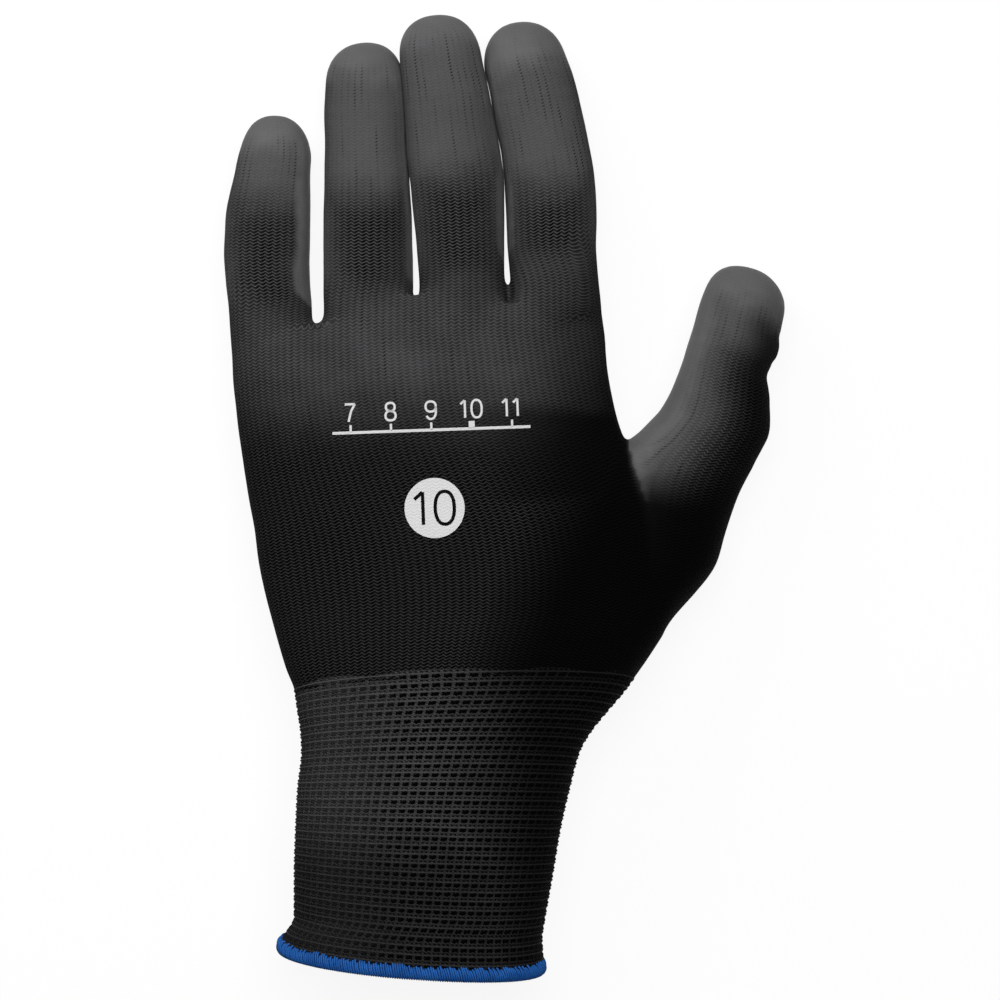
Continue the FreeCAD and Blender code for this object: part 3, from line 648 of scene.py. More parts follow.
def digitTube(name):
    # closed tube of rings in the spread position
    size = digits[name]
    around = 96
    start = size["stations"][0][0]
    straight = np.arange(start, size["end"] - size["round"], 1.0)
    bow = np.sin(np.linspace(0.0, math.pi / 2 * 0.985, 22))
    cap = size["end"] - size["round"] + size["round"] * bow
    along = np.concatenate([straight, cap])
    angle = np.arange(around) / around * fullTurn
    side, halfWidth, height, halfDepth = digitSection(name, along)
    c, s = roundedOval(angle, squareness)
    root, sideways, ahead = digitFrame(name)
    shift = side + spreadShift(name, along)
    points = (root + ahead * along[:, None, None]
              + sideways * (shift[:, None] + halfWidth[:, None] * c)[..., None]
              + np.array([0, 0, 1.0]) * (height[:, None] + halfDepth[:, None] * s)[..., None])
    return points.reshape(-1, 3), gridFaces(len(along), around), around


def digitPlace(name, points):
    # along, section angle and distance from a digit's own surface, in the spread position
    root, sideways, ahead = digitFrame(name)
    away = points - root
    along = away @ ahead
    side, halfWidth, height, halfDepth = digitSection(name, along)
    shift = side + spreadShift(name, along)
    x = (away @ sideways - shift) / np.maximum(halfWidth, 0.4)
    z = (points[:, 2] - height) / np.maximum(halfDepth, 0.4)
    size = (np.abs(x) ** squareness + np.abs(z) ** squareness) ** (1 / squareness)
    distance = (size - 1) * np.minimum(halfWidth, halfDepth)
    first, last = digits[name]["stations"][0][0], digits[name]["end"] + 3
    distance = np.where((along < first) | (along > last), farAway, distance)
    angle = np.arctan2(np.sign(z) * np.abs(z) ** (squareness / 2),
                       np.sign(x) * np.abs(x) ** (squareness / 2))
    return along, angle, distance, x, z


def closeEnds(points, faces, around):
    # fan over both open ends of a tube
    first, last = points[:around].mean(0), points[-around:].mean(0)
    count = len(points)
    points = np.vstack([points, first, last])
    extra = []
    for k in range(around):
        after = (k + 1) % around
        extra.append((count, after, k))
        extra.append((count + 1, count - around + k, count - around + after))
    return points, faces.tolist() + extra


def knitEndShift(across):
    places = np.array(sleeve["knitEnd"])
    return fairCurve(places[:, 0], places[:, 1], across)


def palmTube():
    around = 300
    start = sleeve["capStart"]
    angle = np.arange(around) / around * fullTurn
    straight = np.arange(-58.0, start + 0.01, 1.0)
    rings = [sleevePoint(np.full(around, along), angle) for along in straight]
    base = sleevePoint(np.full(around, start), angle)
    reach = knitEndShift(base[:, 0]) - start
    for share in np.linspace(0.08, 1.0, 16):
        ring = sleevePoint(start + reach * share, angle)
        ring[:, 0] = base[:, 0] * (1 - share) + ring[:, 0] * share
        thin = 1 - sleeve["capThin"] * smoothStep(share, 0.35, 1.0)
        ring[:, 2] = sleeve["capHeight"] + (ring[:, 2] - sleeve["capHeight"]) * thin
        rings.append(ring)
    return np.concatenate(rings), gridFaces(len(rings), around), around


def joinTubes():
    allPoints, allFaces, count = [], [], 0
    for points, faces, around in [palmTube()] + [digitTube(name) for name in digits]:
        points, faces = closeEnds(points, faces, around)
        allPoints.append(points)
        allFaces += [[k + count for k in face] for face in faces]
        count += len(points)
    joined = makeMesh("joined", np.vstack(allPoints), allFaces)
    rough = makeObject("joinedTubes", joined, smooth=False)
    remesh = rough.modifiers.new("remesh", "REMESH")
    remesh.mode = "VOXEL"
    remesh.voxel_size = skin["voxel"] * mm
    ready = rough.evaluated_get(bpy.context.evaluated_depsgraph_get())
    result = bpy.data.meshes.new_from_object(ready)
    faces = [list(face.vertices) for face in result.polygons if len(face.vertices) == 4]
    bpy.data.objects.remove(rough)
    return meshPoints(result), np.array(faces)


def edgesOf(faces):
    pairs = np.vstack([faces[:, [k, (k + 1) % 4]] for k in range(4)])
    return np.unique(np.sort(pairs, 1), axis=0)


def relax(points, edges, rounds, strength):
    count = np.bincount(edges.ravel(), minlength=len(points)).astype(float)[:, None]
    for _ in range(rounds):
        total = np.zeros_like(points)
        for k in range(points.shape[1]):
            total[:, k] = (np.bincount(edges[:, 0], points[edges[:, 1], k], len(points))
                           + np.bincount(edges[:, 1], points[edges[:, 0], k], len(points)))
        points = points + (total / np.maximum(count, 1) - points) * strength
    return points


def normalsOf(points, faces):
    a, b, c, d = [points[faces[:, k]] for k in range(4)]
    face = np.cross(c - a, d - b)
    total = np.zeros_like(points)
    for k in range(4):
        for axis in range(3):
            total[:, axis] += np.bincount(faces[:, k], face[:, axis], len(points))
    return total / np.maximum(np.linalg.norm(total, axis=1), 1e-9)[:, None]


skinPoints, skinFaces = joinTubes()
skinEdges = edgesOf(skinFaces)
skinPoints = relax(skinPoints, skinEdges, skin["smoothing"], 0.5)
print("joined skin:", len(skinPoints), "points")

def bell(distance, width):
    return np.exp(-(distance / width) ** 2)


# where each point belongs, in the spread position: 0 is the sleeve, then the digits in order
skinX, skinY, skinZ = skinPoints.T
sleeveTurn, sleeveAway = sleeveAngle(skinPoints)
sleeveAway = np.where(skinY > knitEndShift(skinX) + 0.5, farAway, sleeveAway)
places = {name: digitPlace(name, skinPoints) for name in digits}
names = list(digits)
owner = np.argmin(np.stack([sleeveAway] + [places[name][2] for name in names]), 0)
for number, name in enumerate(fingerNames):
    along, angle, away, x, z = places[name]
    past = (along > 4) & (np.abs(x) < 1.25) & (away < 3)
    owner = np.where(past & (owner == 0), number + 1, owner)

# stitch counts of the sleeve
section = sleeveSection(np.minimum(skinY, sleeve["mapEnd"]))
sleeveShare = arcShare(sleeveMapTurn(skinPoints), section[1], section[3], 2.35)
sleeveWales = sleeveShare * sleeve["walesRound"]
sleeveCourses = coursesAt(skinX, skinY)
wales, courses = sleeveWales, sleeveCourses
walesRound = np.full(len(skinPoints), float(sleeve["walesRound"]))

# film covers the palm side; soak is dip that has crept into the cloth, and the lighter yarn it
# brings is partly painted light, brighter over the knuckles and the fingers
heelSide = (skinY + 35.0) / 3.0
film = np.minimum((skin["palmEdge"] - skinZ) / 3.0, heelSide)
soakAndLight = np.minimum((17.0 - skinZ) / 6.0, heelSide)
# the soak rises over the knuckles towards the fingers, partly as painted light
overKnuckles = (skinY - 38 + 0.12 * (skinX + 50)) / 22
soakAndLight = np.clip(np.maximum(soakAndLight, np.minimum(overKnuckles, -0.15)), -1.5, 2)
loose = np.full(len(skinPoints), 0.45)
# painted shade: the yarn is darker to the thumb's side, in a patch below the knuckles and towards
# the wrist
paintedShade = smoothStep(skinX - 0.45 * skinY, -8, 44)
backShade = smoothStep(skinX, -30, 44) * smoothStep(38 - skinY, 0, 9) * smoothStep(skinY, -2, 10)
paintedShade = np.maximum(paintedShade, 0.98 * backShade)
paintedShade = np.maximum(paintedShade, 0.58 * smoothStep(-skinY, -48, -18))

for number, name in enumerate(names):
    size = digits[name]
    along, angle, away, x, z = places[name]
    mine = owner == number + 1
    section = digitSection(name, np.minimum(along, size["end"] - size["round"]))
    digitWales = arcShare(angle, section[1], section[3], squareness) * size["wales"]
    digitCourses = along / sleeve["course"]
    tipFilm = (along - size["nail"] - 3.0 * z * z) / 6.5
    if name == "thumb":
        edge = (np.abs(away - sleeveAway) < 1.0) & (along > -30) & (along < -2) & (skinZ > 18)
        shared = (owner == 0) | (mine & (sleeveAway < farAway))
        share = np.where(shared, smoothStep(sleeveAway - away, -5.0, 5.0), mine * 1.0)
        padTurn = math.radians(50.0)
        padward = -(z * math.cos(padTurn) + x * math.sin(padTurn))
        digitFilm = np.maximum((padward + 0.10) / 0.30, tipFilm)
        webFilm = np.minimum(digitFilm, (along + 15) / 5)
        fromBall = smoothStep(along, -30, -12)
        ballFilm = digitFilm * fromBall + film * (1 - fromBall)
        digitFilm = np.where(along < -12, np.where(z > -0.3, webFilm, ballFilm), digitFilm)
        blend = mine * 1.0
        # heavy painted shade on the thumb's outer side
        onDigit, digitShade = smoothStep(along, -16, 0), 0.85 * smoothStep(x, -0.25, 0.75)
        stretched = 0.62
    else:
        edge = mine & (along > 0) & (along < 6) & (np.abs(x) < 0.5) & (z > 0.3)
        share = mine * smoothStep(along, -2.0, 9.0)
        padward = -z
        padFilm = (padward + 0.06 + np.maximum(x * size["wrap"], 0)) / 0.26
        digitFilm = np.maximum(padFilm, tipFilm)
        blend = mine * smoothStep(along, -1.0, 6.0)
        # a little painted shade on the fingers
        onDigit, digitShade = smoothStep(along, -14, 2), 0.10
        stretched = bell(along - size["joints"][0] * 0.25, 15) * 0.7 + 0.25
    # the soak grows towards the pad and the tip, which also lightens them as painted light
    digitSoakAndLight = np.maximum((padward + 0.62) / 0.5, (along - size["soakedAndLit"]) / 9.0)
    digitWales = digitWales + np.median((sleeveWales - digitWales)[edge])
    digitCourses = digitCourses + np.median((sleeveCourses - digitCourses)[edge])
    wales = wales * (1 - share) + digitWales * share
    courses = courses * (1 - share) + digitCourses * share
    walesRound = np.where(mine & (share > 0.5), size["wales"], walesRound)
    film = film * (1 - blend) + digitFilm * blend
    soakAndLight = soakAndLight * (1 - blend) + digitSoakAndLight * blend
    paintedShade = np.where(mine, paintedShade * (1 - onDigit) + digitShade * onDigit, paintedShade)
    loose = np.where(mine, stretched, loose)
attributes = np.stack([np.clip(film, -2.5, 2.5), np.clip(soakAndLight, -2.0, 2.0), loose, paintedShade], 1)
film, soakAndLight, loose, paintedShade = relax(attributes, skinEdges, 6, 0.5).T

# an even slope where the back of the hand runs into the digits
toThumb = np.clip(sleeveAway - places["thumb"][2], -30, 30)
valley = bell(toThumb, 7.0) * smoothStep(22 - skinY, 0, 12) * smoothStep(skinY, -50, -34)
for name in fingerNames:
    along, angle, away, x, z = places[name]
    slope = smoothStep(along, -27, -18) * (1 - smoothStep(along, 1, 6))
    valley = np.maximum(valley, 0.45 * slope * (np.abs(x) < 1.6) * (np.abs(z) > 0.2))
for _ in range(80):
    skinPoints += (relax(skinPoints, skinEdges, 1, 0.6) - skinPoints) * valley[:, None]

# put the fingers back together
for number, name in enumerate(names):
    along, x = places[name][0], places[name][3]
    # the palm's outer sides go with the index and the little finger
    outerSide = {"index": x > -0.9, "little": x < 0.9}.get(name, False)
    moved = (owner == number + 1) | ((owner == 0) & outerSide)
    shift = np.where(moved, spreadShift(name, along), 0.0)
    skinPoints = skinPoints - digitFrame(name)[1] * shift[:, None]

# folds and bumps of a filled glove
folds = {
    "sag": 0.26, "smallSag": 0.09,  # slow unevenness of the cloth
    "knuckle": 0.7,
    "backRipple": 0.10, "backSwell": 0.2, "padCrease": 0.55, "rootCrease": 0.5,
    "ballCrease": 0.9, "palmCrease": 0.6, "lowerCrease": 0.5,
    # along the thumb, width, amount
    "thumb": ((33.5, 3.0, 0.35), (26.5, 1.8, -0.45), (30.4, 0.9, -0.25), (21.5, 2.4, 0.25),
              (37.5, 1.3, -0.25)),
}
skinX, skinY, skinZ = skinPoints.T
skinNormals = normalsOf(skinPoints, skinFaces)
backward = smoothStep(skinNormals[:, 2], 0.1, 0.7)
padward = smoothStep(-skinNormals[:, 2], 0.1, 0.7)
lift = (softNoise(skinPoints, 26.0, 3) * folds["sag"]
        + softNoise(skinPoints, 11.0, 4) * folds["smallSag"])
for number, name in enumerate(names):
    root, sideways, ahead = digitFrame(name)
    along, aside = (skinPoints - root) @ ahead, (skinPoints - root) @ sideways
    mine = owner == number + 1
    near = np.where(mine, 1.0, smoothStep(along, -14, -4) * (np.abs(aside) < 13))
    for joint in digits[name]["joints"]:
        ripple = np.cos((along - joint) / 2.1 * math.pi) * bell(along - joint, 3.6)
        swell = bell(along - joint, 6.0)
        lift += (ripple * folds["backRipple"] + swell * folds["backSwell"]) * backward * near
        lift -= bell(along - joint - 0.8, 1.5) * folds["padCrease"] * padward * near
    if name == "thumb":
        outer = smoothStep(aside, 3.0, 11.0) * mine
        for spot, width, amount in folds["thumb"]:
            lift += bell(along - spot + aside * 0.15, width) * amount * outer
    else:
        lift += bell(along + 9, 7.0) * bell(aside, 8.0) * folds["knuckle"] * backward
        lift -= bell(along - 2.0, 1.6) * folds["rootCrease"] * padward * near

# palm creases: round the ball of the thumb and across under the fingers
palm = padward * smoothStep(skinZ, -40, 12)
fromBall = np.hypot(skinX - 58, (skinY + 2) * 0.86) - 41
lift -= bell(fromBall, 1.8) * folds["ballCrease"] * palm * smoothStep(-skinX, -46, -30)
acrossPalm = skinY - 36 - skinX * 0.16 + (skinX / 30) ** 2 * 2
lift -= bell(acrossPalm, 1.7) * folds["palmCrease"] * palm * (owner == 0)
lowerPalm = skinY - 20 - skinX * 0.30
lift -= (bell(lowerPalm, 1.7) * folds["lowerCrease"] * palm * (owner == 0)
         * smoothStep(skinX, -42, -20))
skinPoints = relax(skinPoints + skinNormals * lift[:, None], skinEdges, 2, 0.4)
# it lies on the table
skinPoints[:, 2] = np.maximum(skinPoints[:, 2], skin["table"])
skinNormals = normalsOf(skinPoints, skinFaces)


# the cuff's rows run a little askew: how far along, how much more at the back and thumb's side
wristLine = {"middle": -41.0, "back": 3.8, "thumbSide": 1.5}
hemLine = {"middle": -114.2, "back": -3.8, "thumbSide": -2.9}


def rowAlong(share, angle):
    # a course of the cuff: share 0 is its first rib, share 1 is the hem's edge
    middle, back, side = [wristLine[key] * (1 - share) + hemLine[key] * share for key in wristLine]
    return middle + back * np.sin(angle) + side * np.cos(angle)


def bendsOf(name):
    # each part of a digit: its name, its stiff length, and where its bend starts and ends
    size = digits[name]
    rows = [("Root", "base", *size["rootBend"])]
    parts = ["Tip"] if name == "thumb" else ["Middle", "Tip"]
    for part, joint, reach in zip(parts, size["joints"], (size["middleBend"], size["tipBend"])):
        rows.append((part, part.lower(), joint - reach, joint + reach))
    return rows


# cut the skin into pieces, halfway between the bends
pieceOf = np.zeros(len(skinFaces), int)
pieceNames = ["handShell"]
faceMiddle = skinPoints[skinFaces].mean(1)
for number, name in enumerate(names):
    root, sideways, ahead = digitFrame(name)
    along = (faceMiddle - root) @ ahead
    mine = (owner[skinFaces] == number + 1).all(1)
    bends = bendsOf(name)
    starts = [bends[0][2] - 1.5]
    starts += [(before[3] + after[2]) / 2 for before, after in zip(bends, bends[1:])]
    for start, bend in zip(starts, bends):
        pieceNames.append(name + bend[0])
        pieceOf = np.where(mine & (along > start), len(pieceNames) - 1, pieceOf)
pieceNames.append("palmShell")
inPalm = (pieceOf == 0) & (faceMiddle[:, 2] < skin["palmEdge"])
pieceOf = np.where(inPalm, len(pieceNames) - 1, pieceOf)
wristEdge = rowAlong(0.0, sleeveTurn[skinFaces[:, 0]]) - skin["wristOverlap"]
pieceOf = np.where(faceMiddle[:, 1] < wristEdge, -1, pieceOf)


def cutPiece(number, name):
    # outside and inside of the fabric, both with their own stitch map
    faces = skinFaces[pieceOf == number]
    used, back = np.unique(faces, return_inverse=True)
    faces = back.reshape(faces.shape)
    count = len(used)
    inner = skinPoints[used] - skinNormals[used] * skin["wall"]
    mesh = makeMesh(name, np.vstack([skinPoints[used], inner]),
                    np.vstack([faces, faces[:, ::-1] + count]))
    setKnitMap(mesh, *[np.tile(values[used], 2) for values in (wales, courses, walesRound)])
    setNumber(mesh, "film", np.concatenate([film[used], np.full(count, -2.0)]))
    setNumber(mesh, "soakAndLight", np.concatenate([soakAndLight[used], np.full(count, -1.0)]))
    setNumber(mesh, "loose", np.tile(loose[used], 2))
    setNumber(mesh, "paintedShade", np.tile(paintedShade[used], 2))
    piece = makeObject(name, mesh, knitMaterial)
    normals = np.vstack([skinNormals[used], -skinNormals[used]])
    mesh.normals_split_custom_set_from_vertices(normals.tolist())
    "coating" if name == "palmShell" else "knit"
    return piece


def metres(point):
    return tuple(float(value) * mm for value in point)


skinPieces = {name: cutPiece(number, name) for number, name in enumerate(pieceNames)}
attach(skinPieces["handShell"], "hand")
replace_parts(skinPieces["handShell"], "hand_knit")
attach(skinPieces["palmShell"], "hand")
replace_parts(skinPieces["palmShell"], "palm_coating", "thumb_ball_coating")
for name in names:
    root, sideways, ahead = digitFrame(name)
    root = root + np.array([0, 0, digits[name]["up"]])
    before = "hand"
    for part, length, first, last in bendsOf(name):
        body = f"{name}_{length}"
        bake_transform(skinPieces[name + part], before, body,
                 start=metres(root + ahead * first), end=metres(root + ahead * last))
        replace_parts(skinPieces[name + part], f"{body}_knit", f"{body}_coating",
                    f"{name}_{part.lower()}_stretch_zone")
        before = body
print("hand pieces:", len(skinPieces))


cuff = {
    "ribs": 34,
    "wales": 76,
    "wristRibs": 17,        # those in the wrist pieces
    "around": 228,          # points round a course
    "wall": 1.3, "groove": 0.09,
    "overWrist": 0.012,     # how far its knit reaches under the hand's
    "elasticRadius": 0.23, "elasticOut": 0.02, "elasticPull": 0.05,
    "yarnRadius": 0.17, "yarnOut": 0.04,
    "yarnPlace": 0.62, "yarnSwing": 0.07,  # in ribs
}


def cuffPoint(share, angle, outward=0.0):
    return sleevePoint(rowAlong(share, angle), angle, outward)


def cuffSkin(name, first, last, material):
    around = cuff["around"]
    angle = np.arange(around) / around * fullTurn
    shares = np.linspace(first, last, max(int((last - first) * cuff["ribs"] * 4), 8))
    outer, inner, across, along = [], [], [], []
    for share in shares:
        row = share * cuff["ribs"]
        full = np.full(around, share)
        outer.append(cuffPoint(full, angle, cuff["groove"] * math.cos((row % 1.0) * fullTurn)))
        inner.append(cuffPoint(full, angle, -cuff["wall"]))
        section = sleeveSection(outer[-1][:, 1])
        turn = (angle + math.pi) % fullTurn - math.pi
        across.append(arcShare(turn, section[1], section[3], 2.1) * cuff["wales"])
        along.append(np.full(around, row))
    faces = gridFaces(len(shares), around)
    points = np.vstack(outer + inner)
    mesh = makeMesh(name, points, np.vstack([faces[:, ::-1], faces + len(shares) * around]))
    setKnitMap(mesh, np.tile(np.concatenate(across), 2), np.tile(np.concatenate(along), 2),
               np.full(len(points), float(cuff["wales"])))
    return makeObject(name, mesh, material)


wristEnd = cuff["wristRibs"] / cuff["ribs"]
wristSkin = cuffSkin("wristKnit", -cuff["overWrist"], wristEnd, cuffMaterial)
cuffShell = cuffSkin("cuffKnit", wristEnd, 0.99, cuffMaterial)


def bendAtWrist(piece):
    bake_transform(piece)


bendAtWrist(wristSkin)
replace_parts(wristSkin, "wrist_stretch_zone")
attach(cuffShell, "cuff")
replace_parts(cuffShell, "cuff_knit")


# threads and stitches are laid by geometry nodes along guide lines
def newTree(name, inputs):
    tree = bpy.data.node_groups.new(name, "GeometryNodeTree")
    tree.interface.new_socket("Geometry", in_out="INPUT", socket_type="NodeSocketGeometry")
    for label, kind in inputs.items():
        tree.interface.new_socket(label, in_out="INPUT", socket_type="NodeSocket" + kind)
    tree.interface.new_socket("Geometry", in_out="OUTPUT", socket_type="NodeSocketGeometry")
    start = tree.nodes.new("NodeGroupInput")
    end = tree.nodes.new("NodeGroupOutput")

    def add(kind, settings=None, output=0, **values):
        # inputs are named, with an underscore for a space, or numbered as _0, _1, ...
        values = {int(key[1:]) if key[1:].isdigit() else key.replace("_", " "): value
                  for key, value in values.items()}
        return addNode(tree, kind, settings, values).outputs[output]

    def finish(geometry):
        shaded = add("GeometryNodeSetShadeSmooth", Geometry=geometry)
        real = add("GeometryNodeRealizeInstances", Geometry=shaded)
        painted = add("GeometryNodeSetMaterial", Geometry=real, Material=start.outputs["Material"])
        tree.links.new(painted, end.inputs[0])
        return tree

    return start.outputs, add, finish


def makeThreadTree():
    # guide edges become a round thread
    given, add, finish = newTree("layThread", {
        "Radius": "Float", "Sides": "Int", "Material": "Material"})
    curve = add("GeometryNodeMeshToCurve", Mesh=given["Geometry"])
    profile = add("GeometryNodeCurvePrimitiveCircle", {"mode": "RADIUS"},
                  Resolution=given["Sides"], Radius=given["Radius"])
    return finish(add("GeometryNodeCurveToMesh", Curve=curve, Profile_Curve=profile))


def makeStitchTree():
    # one thread wrap at each guide point, turned by the point's own directions
    given, add, finish = newTree("overlockStitch", {
        "Half Thickness": "Float", "Half Height": "Float", "Radius": "Float", "Slant": "Float",
        "Seed": "Int", "Material": "Material"})
    ring = add("GeometryNodeCurvePrimitiveCircle", {"mode": "RADIUS"}, Resolution=20, Radius=1.0)
    size = add("ShaderNodeCombineXYZ", _0=given["Half Thickness"], _1=given["Half Height"], _2=1.0)
    oval = add("GeometryNodeTransform", Geometry=ring, Scale=size)
    tilt = add("ShaderNodeCombineXYZ", _0=given["Slant"])
    raised = add("ShaderNodeCombineXYZ", _1=given["Half Height"])
    slanted = add("GeometryNodeTransform", Geometry=oval, Rotation=tilt, Translation=raised)
    profile = add("GeometryNodeCurvePrimitiveCircle", {"mode": "RADIUS"},
                  Resolution=5, Radius=given["Radius"])
    wrap = add("GeometryNodeCurveToMesh", Curve=slanted, Profile_Curve=profile)
    kind = {"data_type": "FLOAT_VECTOR"}
    along = add("GeometryNodeInputNamedAttribute", kind, Name="alongHem")
    out = add("GeometryNodeInputNamedAttribute", kind, Name="outOfHem")
    first = add("FunctionNodeAlignRotationToVector", {"axis": "Z"}, Vector=along)
    second = add("FunctionNodeAlignRotationToVector", {"axis": "X", "pivot_axis": "Z"},
                 Rotation=first, Vector=out)
    scatter = add("FunctionNodeRandomValue", kind, _0=hem["smallest"], _1=hem["largest"],
                  Seed=given["Seed"])
    return finish(add("GeometryNodeInstanceOnPoints", Points=given["Geometry"], Instance=wrap,
                      Rotation=second, Scale=scatter))


# the overlocked hem
hem = {
    "wraps": 290,
    "height": 1.62, "thickness": 1.05,  # half the size of a wrap
    "smallest": (0.94, 0.88, 1.0), "largest": (1.06, 1.22, 1.0),
    "thread": 0.27,
    "slant": 0.30,
    "share": 0.972, "inward": 0.35,     # where its core runs
    "coreThickness": 0.92, "coreHeight": 0.94,
    "seed": 11,
}
threadTree = makeThreadTree()
stitchTree = makeStitchTree()


def growPiece(name, guide, tree, inputs, material):
    # run a tree on a guide mesh and keep the plain mesh that comes out
    carrier = makeObject(name + "Guide", guide, smooth=False)
    grower = carrier.modifiers.new("grow", "NODES")
    grower.node_group = tree
    inputs = {**inputs, "Material": material}
    for item in tree.interface.items_tree:
        if item.item_type == "SOCKET" and item.in_out == "INPUT" and item.name in inputs:
            grower[item.identifier] = inputs[item.name]
    ready = carrier.evaluated_get(bpy.context.evaluated_depsgraph_get())
    mesh = bpy.data.meshes.new_from_object(ready)
    carrier.modifiers.remove(grower)
    bpy.data.objects.remove(carrier)
    mesh.name = name
    return makeObject(name, mesh, material)


def evenAngles(count, share):
    # angles that stand evenly round a course, from the middle of the palm side
    fine = np.linspace(0, fullTurn, 1441)
    line = cuffPoint(np.full(len(fine), share), fine - math.pi / 2)
    length = np.concatenate([[0], np.cumsum(np.linalg.norm(np.diff(line, axis=0), axis=1))])
    return np.interp(np.arange(count) / count * length[-1], length, fine) - math.pi / 2


def elasticLoop(rib):
    # a nearly straight thread that strays a little and is pulled in at each wale
    count = cuff["around"]
    share = (rib + 0.02) / cuff["ribs"]
    draws = np.random.RandomState(100 + rib).normal(size=count)
    stray = np.convolve(np.tile(draws, 3), np.ones(9) / 9, "same")[count:2 * count]
    pull = cuff["elasticPull"] * np.cos(np.arange(count) / 3 * fullTurn)
    return cuffPoint(share + stray * 0.0012, evenAngles(count, share), cuff["elasticOut"] + pull)


def zigzagLoop(rib):
    share = (rib + cuff["yarnPlace"]) / cuff["ribs"]
    count = cuff["wales"] * 8
    phase = np.arange(count) % 4
    sway = np.array([1.0, 0.0, -1.0, 0.0])[phase] * cuff["yarnSwing"] / cuff["ribs"]
    stray = np.random.RandomState(501 + rib * 2).normal(size=count) * 0.0006
    lift = np.array([0.06, 0.0, -0.10, 0.0])[phase]
    return cuffPoint(share + sway + stray, evenAngles(count, share), cuff["yarnOut"] + lift)


def layThreads(name, makeLoop, ribs, radius, sides, material, slot):
    loops = [makeLoop(rib) for rib in ribs]
    edges = [(k, (k + 1) % len(loops[0])) for k in range(len(loops[0]))]
    edges = [(a + n * len(edges), b + n * len(edges)) for n in range(len(loops)) for a, b in edges]
    guide = makeMesh(name + "Lines", np.concatenate(loops), (), edges)
    piece = growPiece(name, guide, threadTree, {"Radius": radius * mm, "Sides": sides}, material)
    return piece


wristRibs, lowerRibs = range(cuff["wristRibs"]), range(cuff["wristRibs"], cuff["ribs"] - 1)
elastic = (cuff["elasticRadius"], 6, elasticMaterial, "elastic")
zigzag = (cuff["yarnRadius"], 4, zigzagMaterial, "knit")
wristElastic = layThreads("wristElastic", elasticLoop, wristRibs, *elastic)
cuffElastic = layThreads("cuffElastic", elasticLoop, lowerRibs, *elastic)
wristYarn = layThreads("wristYarn", zigzagLoop, wristRibs, *zigzag)
cuffYarn = layThreads("cuffYarn", zigzagLoop, lowerRibs, *zigzag)
bendAtWrist(wristElastic)
bendAtWrist(wristYarn)
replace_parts(wristElastic, "wrist_elastic")
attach(cuffElastic, "cuff")
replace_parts(cuffElastic, "cuff_elastic")
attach(cuffYarn, "cuff")
print("cuff threads laid")


def hemFrame(count):
    angle = evenAngles(count, hem["share"])
    share = np.full(count, hem["share"])
    centre = cuffPoint(share, angle, -hem["inward"])
    ahead = np.roll(centre, -1, 0) - np.roll(centre, 1, 0)
    ahead /= np.linalg.norm(ahead, axis=1)[:, None]
    out = cuffPoint(share, angle, 1.0) - cuffPoint(share, angle, 0.0)
    out -= ahead * (out * ahead).sum(1)[:, None]
    out /= np.linalg.norm(out, axis=1)[:, None]
    return centre, ahead, out, np.cross(ahead, out)


def hemBand():
    # the soft core under the wraps
    count, around = cuff["around"], 16
    centre, ahead, out, down = hemFrame(count)
    rings = [centre + out * (math.cos(a) * hem["thickness"] * hem["coreThickness"])
             + down * (math.sin(a) * hem["height"] * hem["coreHeight"])
             for a in np.arange(around) / around * fullTurn]
    faces = gridFaces(count + 1, around) % (count * around)
    mesh = makeMesh("hemCore", np.stack(rings, 1).reshape(-1, 3), faces)
    return makeObject("hemCore", mesh, hemGroundMaterial)


def hemWraps():
    # each wrap hangs from the smooth lower edge, so only the upper edge is uneven
    centre, ahead, out, down = hemFrame(hem["wraps"])
    guide = makeMesh("hemPoints", centre - down * hem["height"])
    for name, values in (("alongHem", ahead), ("outOfHem", out)):
        layer = guide.attributes.new(name, "FLOAT_VECTOR", "POINT")
        layer.data.foreach_set("vector", values.astype(np.float32).ravel())
    return growPiece("hemStitches", guide, stitchTree,
                     {"Half Thickness": hem["thickness"] * mm, "Half Height": hem["height"] * mm,
                      "Radius": hem["thread"] * mm, "Slant": hem["slant"], "Seed": hem["seed"]},
                     hemMaterial)


hemCore = hemBand()
hemStitches = hemWraps()
for piece in (hemCore, hemStitches):
    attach(piece, "cuff")
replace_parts(hemStitches, "cuff_hem")
print("hem sewn:", len(hemStitches.data.polygons), "faces")


# white prints on the back: the size number and a plain size scale
printMark = {
    "disc": (0.0, 5.8), "discRadius": 7.9, "turn": 2.0,
    "figureHeight": 8.6, "figureStroke": 0.903, "figureAbove": 0.16,
    "scaleMiddle": (-1.0, 30.9),
    "sizes": ["7", "8", "9", "10", "11"], "sizeStep": 10.6, "sizeHeight": 4.6, "sizeStroke": 0.598,
    "barLength": 52.0, "barHeight": 0.75, "barDrop": 4.6,
    "tickHeight": 2.0, "tick": 0.6, "wideTick": 1.6,
    "above": 0.10,
}


def makeInkMaterial():
    paint = Paint("whiteInk")
    across, along = paint.stitchMap()
    uneven = paint.noise(paint.objectSpace(), 700.0, 3.0)
    # the weave shows faintly through the ink
    level = along + (across * fullTurn).wave() * knitFinish["zigzag"]
    fromYarn = abs(level.fraction() - 0.5) * 2
    tone = paint.mixColour((fromYarn.ease(0.6, 1.0) * 0.06 + (uneven - 0.5) * 0.10).most(0.0),
                           (0.98, 0.98, 0.98), (0.72, 0.72, 0.73))
    paint.set(Base_Color=tone, Roughness=0.55 + uneven * 0.15,
              Normal=paint.bump((1 - fromYarn ** 2) * 0.6 + uneven * 0.3, 0.00010))
    return paint.material


